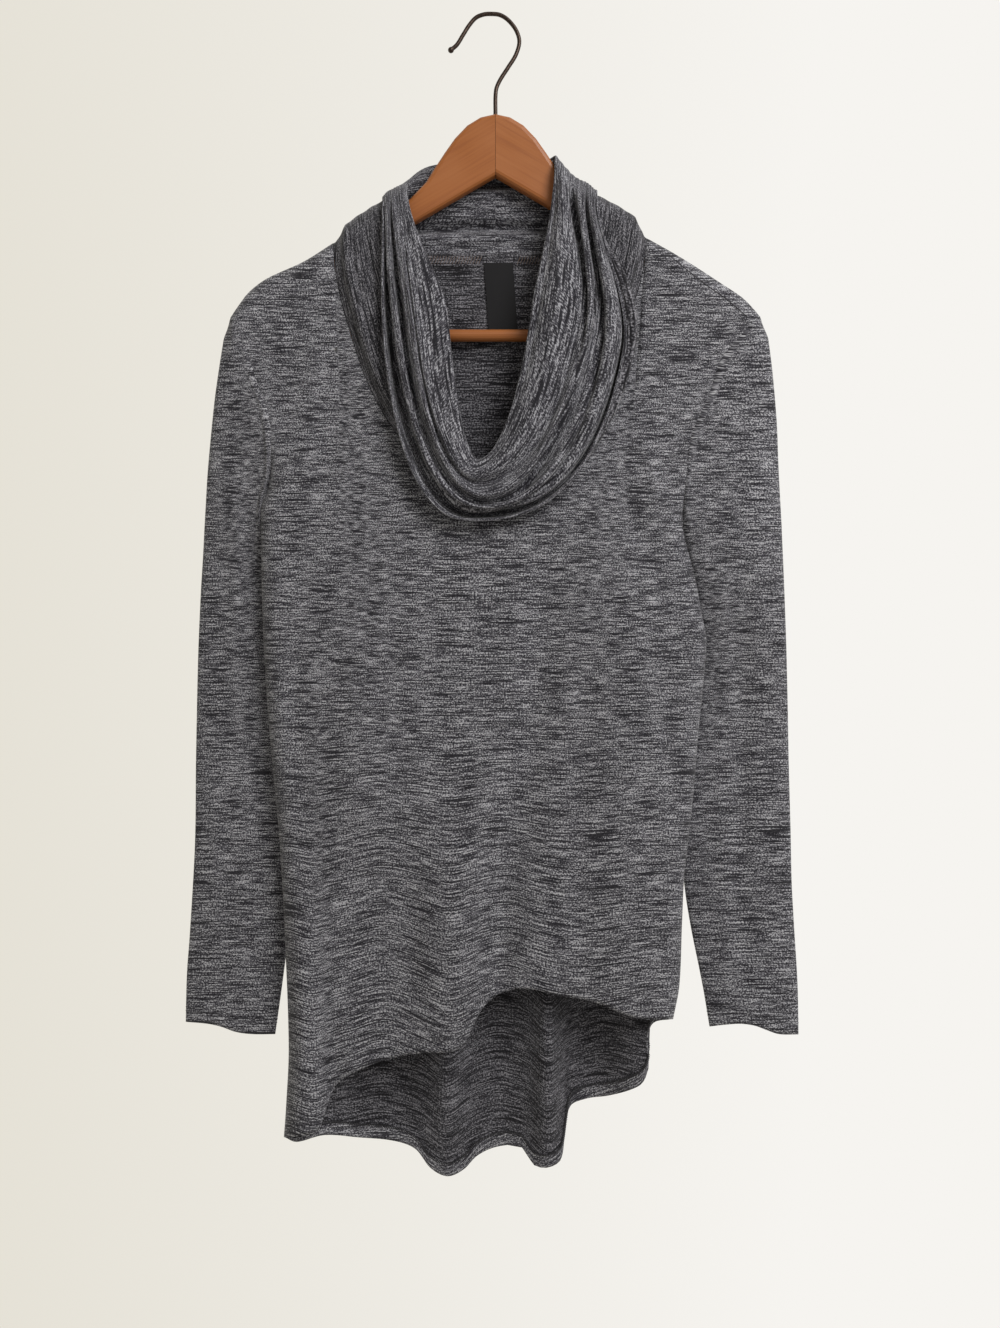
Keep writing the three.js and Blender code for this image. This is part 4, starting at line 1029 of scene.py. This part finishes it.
def knit_pair(cloth):
    """The knit's face and its darker reverse."""
    return (shared(marled_knit, "marled_stretch_jersey", (cloth.slub, cloth.ground, cloth.fleck)),
            shared(marled_knit, "jersey_reverse", ("#111014", "#3A393E", "#7E7D82"), 0.45))


THREADS = {"grey": "#3A393E", "black": "#17161A", "brown": "#5E4D43"}


def thread_of(shade):
    return shared(sewing_thread, "spun_polyester_" + shade, THREADS[shade])


def belongs(piece, slot, *nodes):
    """Fixes a piece to the body and hides the solids that it stands for. The slot is not used."""
    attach(piece, "root")
    if nodes:
        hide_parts(*nodes)
    return piece


def all_belong(pieces):
    """Fixes each of a sheet's seams, hems and stitch rows to the body."""
    for piece in pieces:
        belongs(piece, "knit")
    return pieces


def hem_of(name, grid, thick, face):
    """A panel's two rows of hem stitches and its turned-up band."""
    made = twin_needle(name + "_hem_stitches", grid, thick, thread_of("grey"), OFF_SEAMS)
    return made + [hem_band(name + "_hem_band", grid, thick / 2 + HEM_CLEAR, face)]


def front_seams(grid, thick, face):
    """The front's hem and the line of the right shoulder's seam."""
    made = hem_of("front", grid, thick, face)
    x, z = curve_of(SHOULDER_SEAM)(np.linspace(0, 1, 60))
    seam = place(x, front_y(x, z) - SEAM_GAP / 2 - thick / 2, z)
    made.append(tube("shoulder_seam", seam, SEAM_LINE_RADIUS, thread_of("black"), 8))
    return made


def back_seams(grid, thick, face, reverse):
    """The back's hem with the overlock on its edge, and the neck seam's band and overlock."""
    made = hem_of("back", grid, thick, face)
    out = -row_above(grid, HEM, normals_of(grid, False))
    line = row_above(grid, HEM) + out * (thick / 2 + 2 * HEM_CLEAR)
    made.append(stitches_along("back_hem_overlock", line[OFF_SEAMS], out[OFF_SEAMS], thread_of("black"),
                               **HEM_OVERLOCK))
    half = NECK_BAND["half"]
    across = np.linspace(half, -half, half + 1)
    x, z = np.broadcast_arrays(across[None, :], NECK_BAND_ROWS[:, None])
    band = place(x, np.full_like(x, NECK_BAND["y"]), z)
    band_uv = np.stack([x, z + NECK_BAND["uv_from"]], axis=-1)
    made.append(shell("neck_seam_band", band, band_uv, False, NECK_BAND["thick"], reverse, reverse))
    line = place(across, NECK_BAND["stitch_y"], NECK_BAND["stitch_z"])
    out = np.broadcast_to([0.0, -1.0, 0.0], line.shape)
    for side, part in (("right", across > LABEL_SIDES["right"]), ("left", across < LABEL_SIDES["left"])):
        made.append(stitches_along("neck_overlock_" + side, line[part], out[part], thread_of("brown"),
                                   **NECK_OVERLOCK))
    return made


def glue_joint():
    """A plate between the hanger's halves, a little inside their faces: a superellipse in three rings."""
    top, foot = HANGER_TOP["z"][0] - GLUE_INSET["top"], HANGER_APEX + GLUE_INSET["foot"]
    angle = np.linspace(0, 2 * math.pi, 24, endpoint=False)
    y, z = (np.sign(wave) * np.abs(wave) ** 0.3 for wave in (np.cos(angle), np.sin(angle)))
    middle = np.array([0, 0, mix(top, foot, 0.5)])
    deep = HANGER_HALF_THICK - GLUE_INSET["side"]
    ring = np.stack([np.zeros(24), y * deep, middle[2] + z * (top - foot) / 2], axis=-1)
    return middle + np.array([0.01, 0.5, 1.0])[:, None, None] * (ring - middle)


def hook_path():
    """The wire's path and its radius along it. The ball is a swelling at the tip, drawn in at its end."""
    x, z = curve_of(HOOK)(np.linspace(0, 1, 161))
    path = np.stack([x, np.zeros_like(x), z], axis=-1)
    to_tip = -np.cos(np.linspace(0, math.pi, 15)) * HOOK_BALL_RADIUS
    ahead = (path[1] - path[0]) / np.linalg.norm(path[1] - path[0])
    ball = path[0] + to_tip[:, None] * ahead
    radius = np.maximum(0.02, np.sqrt(np.maximum(0, HOOK_BALL_RADIUS ** 2 - to_tip ** 2)))
    radius = np.where(to_tip > 0, np.maximum(radius, WIRE_RADIUS), radius)
    rest = path[run_of(x, z) > HOOK_BALL_RADIUS + 0.3]
    return np.concatenate([ball, rest]), np.concatenate([radius, np.full(len(rest), WIRE_RADIUS)])


# The room, in metres
ROOM = {"radius": 2.4, "floor": -2.45, "wall_top": 0.3, "top": 2.4, "sides": 48}
KEY_FROM = (1.05, -1.5, 0.75)
KEY_AT = (0.0, 0.0, -0.5)


def turned_surface(name, r, z, material, inward):
    """A profile of radii and heights in metres, turned round the upright axis."""
    turn = np.linspace(0, 2 * math.pi, ROOM["sides"], endpoint=False)
    grid = np.stack([r[:, None] * np.cos(turn), r[:, None] * np.sin(turn),
                     np.broadcast_to(z[:, None], (len(z), len(turn)))], axis=-1)
    quads = ring_quads(len(z), len(turn))
    quads = quads[:, ::-1] if inward else quads
    return mesh_object(name, grid.reshape(-1, 3) * 1000, quads, None, (material,))


def lit_wall():
    """White walls that give the soft light, darker and warmer at the left: painted shade, as the wall is lit
    from the right.

    The half of the room in front of the garment is dimmer, so that the key light models the folds.
    """
    material, tree = blank_material("lit_white_wall")
    where = node(tree, "SeparateXYZ", {"Vector": node(tree, "TexCoord", output="Object")}, None)
    side = node(tree, "MapRange", {"Value": where.outputs["X"], "From Min": -1.3, "From Max": 0.8})
    # Painted shade: the walls' colour goes from a darker, warmer white at the left to a light one at the
    # right
    colour = ramp(tree, side, [(0.0, linear("#E5E1D6")), (1.0, linear("#F6F4F0"))])
    light = node(tree, "MapRange", {"Value": where.outputs["Y"], "From Min": -1.2, "From Max": 0.2,
                                    "To Min": 0.5})
    finish_with(tree, {"Base Color": (0, 0, 0, 1), "Specular IOR Level": 0.0, "Roughness": 1.0,
                       "Emission Color": colour, "Emission Strength": light})
    return material


def matt_floor():
    """A matt white floor with the faintest mottle."""
    material, tree = blank_material("matt_white_floor")
    mottle = node(tree, "TexNoise", {"Vector": node(tree, "TexCoord", output="Object"), "Scale": 2.0})
    colour = ramp(tree, mottle, [(0.3, linear("#EDEAE3")), (0.7, linear("#F1EEE8"))])
    finish_with(tree, {"Base Color": colour, "Roughness": 0.9})
    return material


# Operators

class TUNIC_OT_camera(bpy.types.Operator):
    """Places the camera level with the garment's middle, at the distance and height of view of the picture"""

    bl_idname = "tunic.camera"
    bl_label = "Camera"

    def execute(self, context):
        stage = context.scene.tunic_stage
        data = bpy.data.cameras.new("camera")
        camera = bpy.data.objects.new("camera", data)
        context.scene.collection.objects.link(camera)
        data.sensor_width = 36.0
        data.sensor_fit = "AUTO"
        data.lens = data.sensor_width * stage.distance / stage.seen_height
        camera.location = (EYE["x"] / 1000, -stage.distance, EYE["z"] / 1000)
        camera.rotation_euler = (math.pi / 2, 0, 0)
        context.scene.camera = camera
        return {"FINISHED"}


class TUNIC_OT_body(bpy.types.Operator):
    """Makes the front and back panels as fine shells"""

    bl_idname = "tunic.body"
    bl_label = "Front and back"

    def execute(self, context):
        cloth = context.scene.tunic_cloth
        face, reverse = knit_pair(cloth)
        thick = cloth.thickness * 1000

        grid, uv = front_grid()
        front = belongs(shell("front_cloth", grid, uv, False, thick, face, reverse), "knit", "front")
        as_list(all_belong(front_seams(grid, thick, face)))

        grid, uv = back_grid()
        back = belongs(shell("back_cloth", grid, uv, False, thick, face, reverse), "knit", "back")
        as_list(all_belong(back_seams(grid, thick, face, reverse)))
        return {"FINISHED"}


class TUNIC_OT_sleeves(bpy.types.Operator):
    """Makes both sleeves as flat hanging tubes"""

    bl_idname = "tunic.sleeves"
    bl_label = "Sleeves"

    def execute(self, context):
        cloth = context.scene.tunic_cloth
        face, reverse = knit_pair(cloth)
        thick = cloth.thickness * 1000
        for name, node_name, armhole, rows, cuff, side in (
                ("sleeve_left_cloth", "sleeve_left", LEFT_ARMHOLE, LEFT_SLEEVE, LEFT_CUFF, -1),
                ("sleeve_right_cloth", "sleeve_right", RIGHT_ARMHOLE, RIGHT_SLEEVE, RIGHT_CUFF, 1)):
            grid, uv = sleeve_grid(armhole, rows, cuff, side, 190, 56)
            piece = belongs(shell(name, grid, uv, True, thick, face, reverse), "knit", node_name)
            ring = np.concatenate([grid, grid[:, :1]], axis=1)
            extras = twin_needle(node_name + "_cuff_stitches", ring, thick, thread_of("grey"))
            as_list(all_belong(extras))
        return {"FINISHED"}


class TUNIC_OT_cowl(bpy.types.Operator):
    """Makes the rolled collar with its long folds"""

    bl_idname = "tunic.cowl"
    bl_label = "Cowl"

    def execute(self, context):
        cloth = context.scene.tunic_cloth
        reverse = knit_pair(cloth)[1]
        # A darker copy of the knit for the collar: partly its stretched courses, partly painted shade for
        # their turn from the light
        face = marled_knit("jersey_collar_stretched_painted_shade", (cloth.slub, "#47464C", "#949499"), 0.45)
        thick = cloth.thickness * 1000
        grid, uv = collar_grid(13, 68)
        piece = belongs(shell("cowl_cloth", grid, uv, True, thick, face, reverse), "knit", "cowl")
        edge = tube("cowl_edge_roll", grid[-1], EDGE_ROLL, face, closed=True, hint=normals_of(grid, True)[-1])
        belongs(edge, "knit")
        return {"FINISHED"}


class TUNIC_OT_label(bpy.types.Operator):
    """Finishes the bare neck label"""

    bl_idname = "tunic.label"
    bl_label = "Label"

    def execute(self, context):
        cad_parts["label"].data.materials.clear()
        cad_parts["label"].data.materials.append(woven_satin("woven_satin_black", "#0B0A0D"))
        return {"FINISHED"}


class TUNIC_OT_hanger(bpy.types.Operator):
    """Finishes the wooden hanger and makes its hook as a smooth bent wire"""

    bl_idname = "tunic.hanger"
    bl_label = "Hanger"

    def execute(self, context):
        hanger = context.scene.tunic_hanger
        shades = ("#874E25", hanger.wood, "#93592D")
        for name, turn in (("hanger_left", 0.53), ("hanger_right", -0.53), ("hanger_bar", 0.0)):
            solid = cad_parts[name]
            solid.data.materials.clear()
            solid.data.materials.append(stained_wood("stained_hardwood_" + name, shades, turn))
        joint_wood = stained_wood("glue_joint_wood", ("#3A2110", "#4A2B16", "#5C371D"), 0.0)
        grid = glue_joint()
        uv = np.zeros((len(grid), grid.shape[1] + 1, 2))
        belongs(shell("hanger_glue_joint", grid, uv, True, 2 * GLUE_HALF, joint_wood, joint_wood), "wood")
        path, radius = hook_path()
        wire = tube("hook_wire", path, radius, bronzed_steel("bronzed_steel", hanger.wire), 20)
        belongs(wire, "hook", "hanger_hook")
        return {"FINISHED"}


class TUNIC_OT_studio(bpy.types.Operator):
    """Makes a pale room of soft light round the garment, with a floor and one large light at the right"""

    bl_idname = "tunic.studio"
    bl_label = "Studio"

    def execute(self, context):
        stage = context.scene.tunic_stage
        up = np.linspace(0, math.pi / 2, 13)[1:-1]
        dome = ROOM["top"] - ROOM["wall_top"]
        r = np.concatenate([[ROOM["radius"]] * 2, ROOM["radius"] * np.cos(up), [0.001]])
        wall = [ROOM["floor"], ROOM["wall_top"]]
        z = np.concatenate([wall, ROOM["wall_top"] + dome * np.sin(up), [ROOM["top"]]])
        room = turned_surface("room", r, z, lit_wall(), True)
        r = np.array([0.001, 0.6, 1.2, 1.8, ROOM["radius"]])
        floor = turned_surface("floor", r, np.full(len(r), ROOM["floor"]), matt_floor(), False)

        key = bpy.data.lights.new("key", "AREA")
        key.shape, key.size, key.size_y, key.energy = "RECTANGLE", 1.0, 1.4, stage.key_power
        key.color = (1.0, 0.985, 0.97)
        lamp = bpy.data.objects.new("key", key)
        lamp.location = KEY_FROM
        aim = np.array(KEY_AT) - np.array(lamp.location)
        lamp.rotation_euler = (math.acos(-aim[2] / np.linalg.norm(aim)), 0,
                               math.atan2(aim[1], aim[0]) - math.pi / 2)
        context.scene.collection.objects.link(lamp)
        context.scene.view_settings.view_transform = "Standard"
        return {"FINISHED"}


class TUNIC_PT_panel(bpy.types.Panel):
    """Lists the settings and the steps that build the tunic"""

    bl_idname = "TUNIC_PT_panel"
    bl_label = "Cowl neck tunic"
    bl_space_type = "VIEW_3D"
    bl_region_type = "UI"
    bl_category = "Tunic"

    def draw(self, context):
        for group in ("tunic_cloth", "tunic_hanger", "tunic_stage"):
            settings = getattr(context.scene, group)
            box = self.layout.box()
            for name in settings.__annotations__:
                box.prop(settings, name)
        for operator in STEPS:
            self.layout.operator(operator.bl_idname)


GROUPS = {"tunic_cloth": TunicCloth, "tunic_hanger": TunicHanger, "tunic_stage": TunicStage}
STEPS = (TUNIC_OT_camera, TUNIC_OT_body, TUNIC_OT_sleeves, TUNIC_OT_cowl, TUNIC_OT_label,
         TUNIC_OT_hanger, TUNIC_OT_studio)


def register():
    for group in (*GROUPS.values(), *STEPS, TUNIC_PT_panel):
        bpy.utils.register_class(group)
    for name, group in GROUPS.items():
        setattr(bpy.types.Scene, name, bpy.props.PointerProperty(type=group))


def unregister():
    for name in GROUPS:
        delattr(bpy.types.Scene, name)
    for group in reversed((*GROUPS.values(), *STEPS, TUNIC_PT_panel)):
        bpy.utils.unregister_class(group)


def main():
    register()
    for step in STEPS:
        area, name = step.bl_idname.split(".")
        getattr(getattr(bpy.ops, area), name)()


if __name__ == "__main__":
    main()
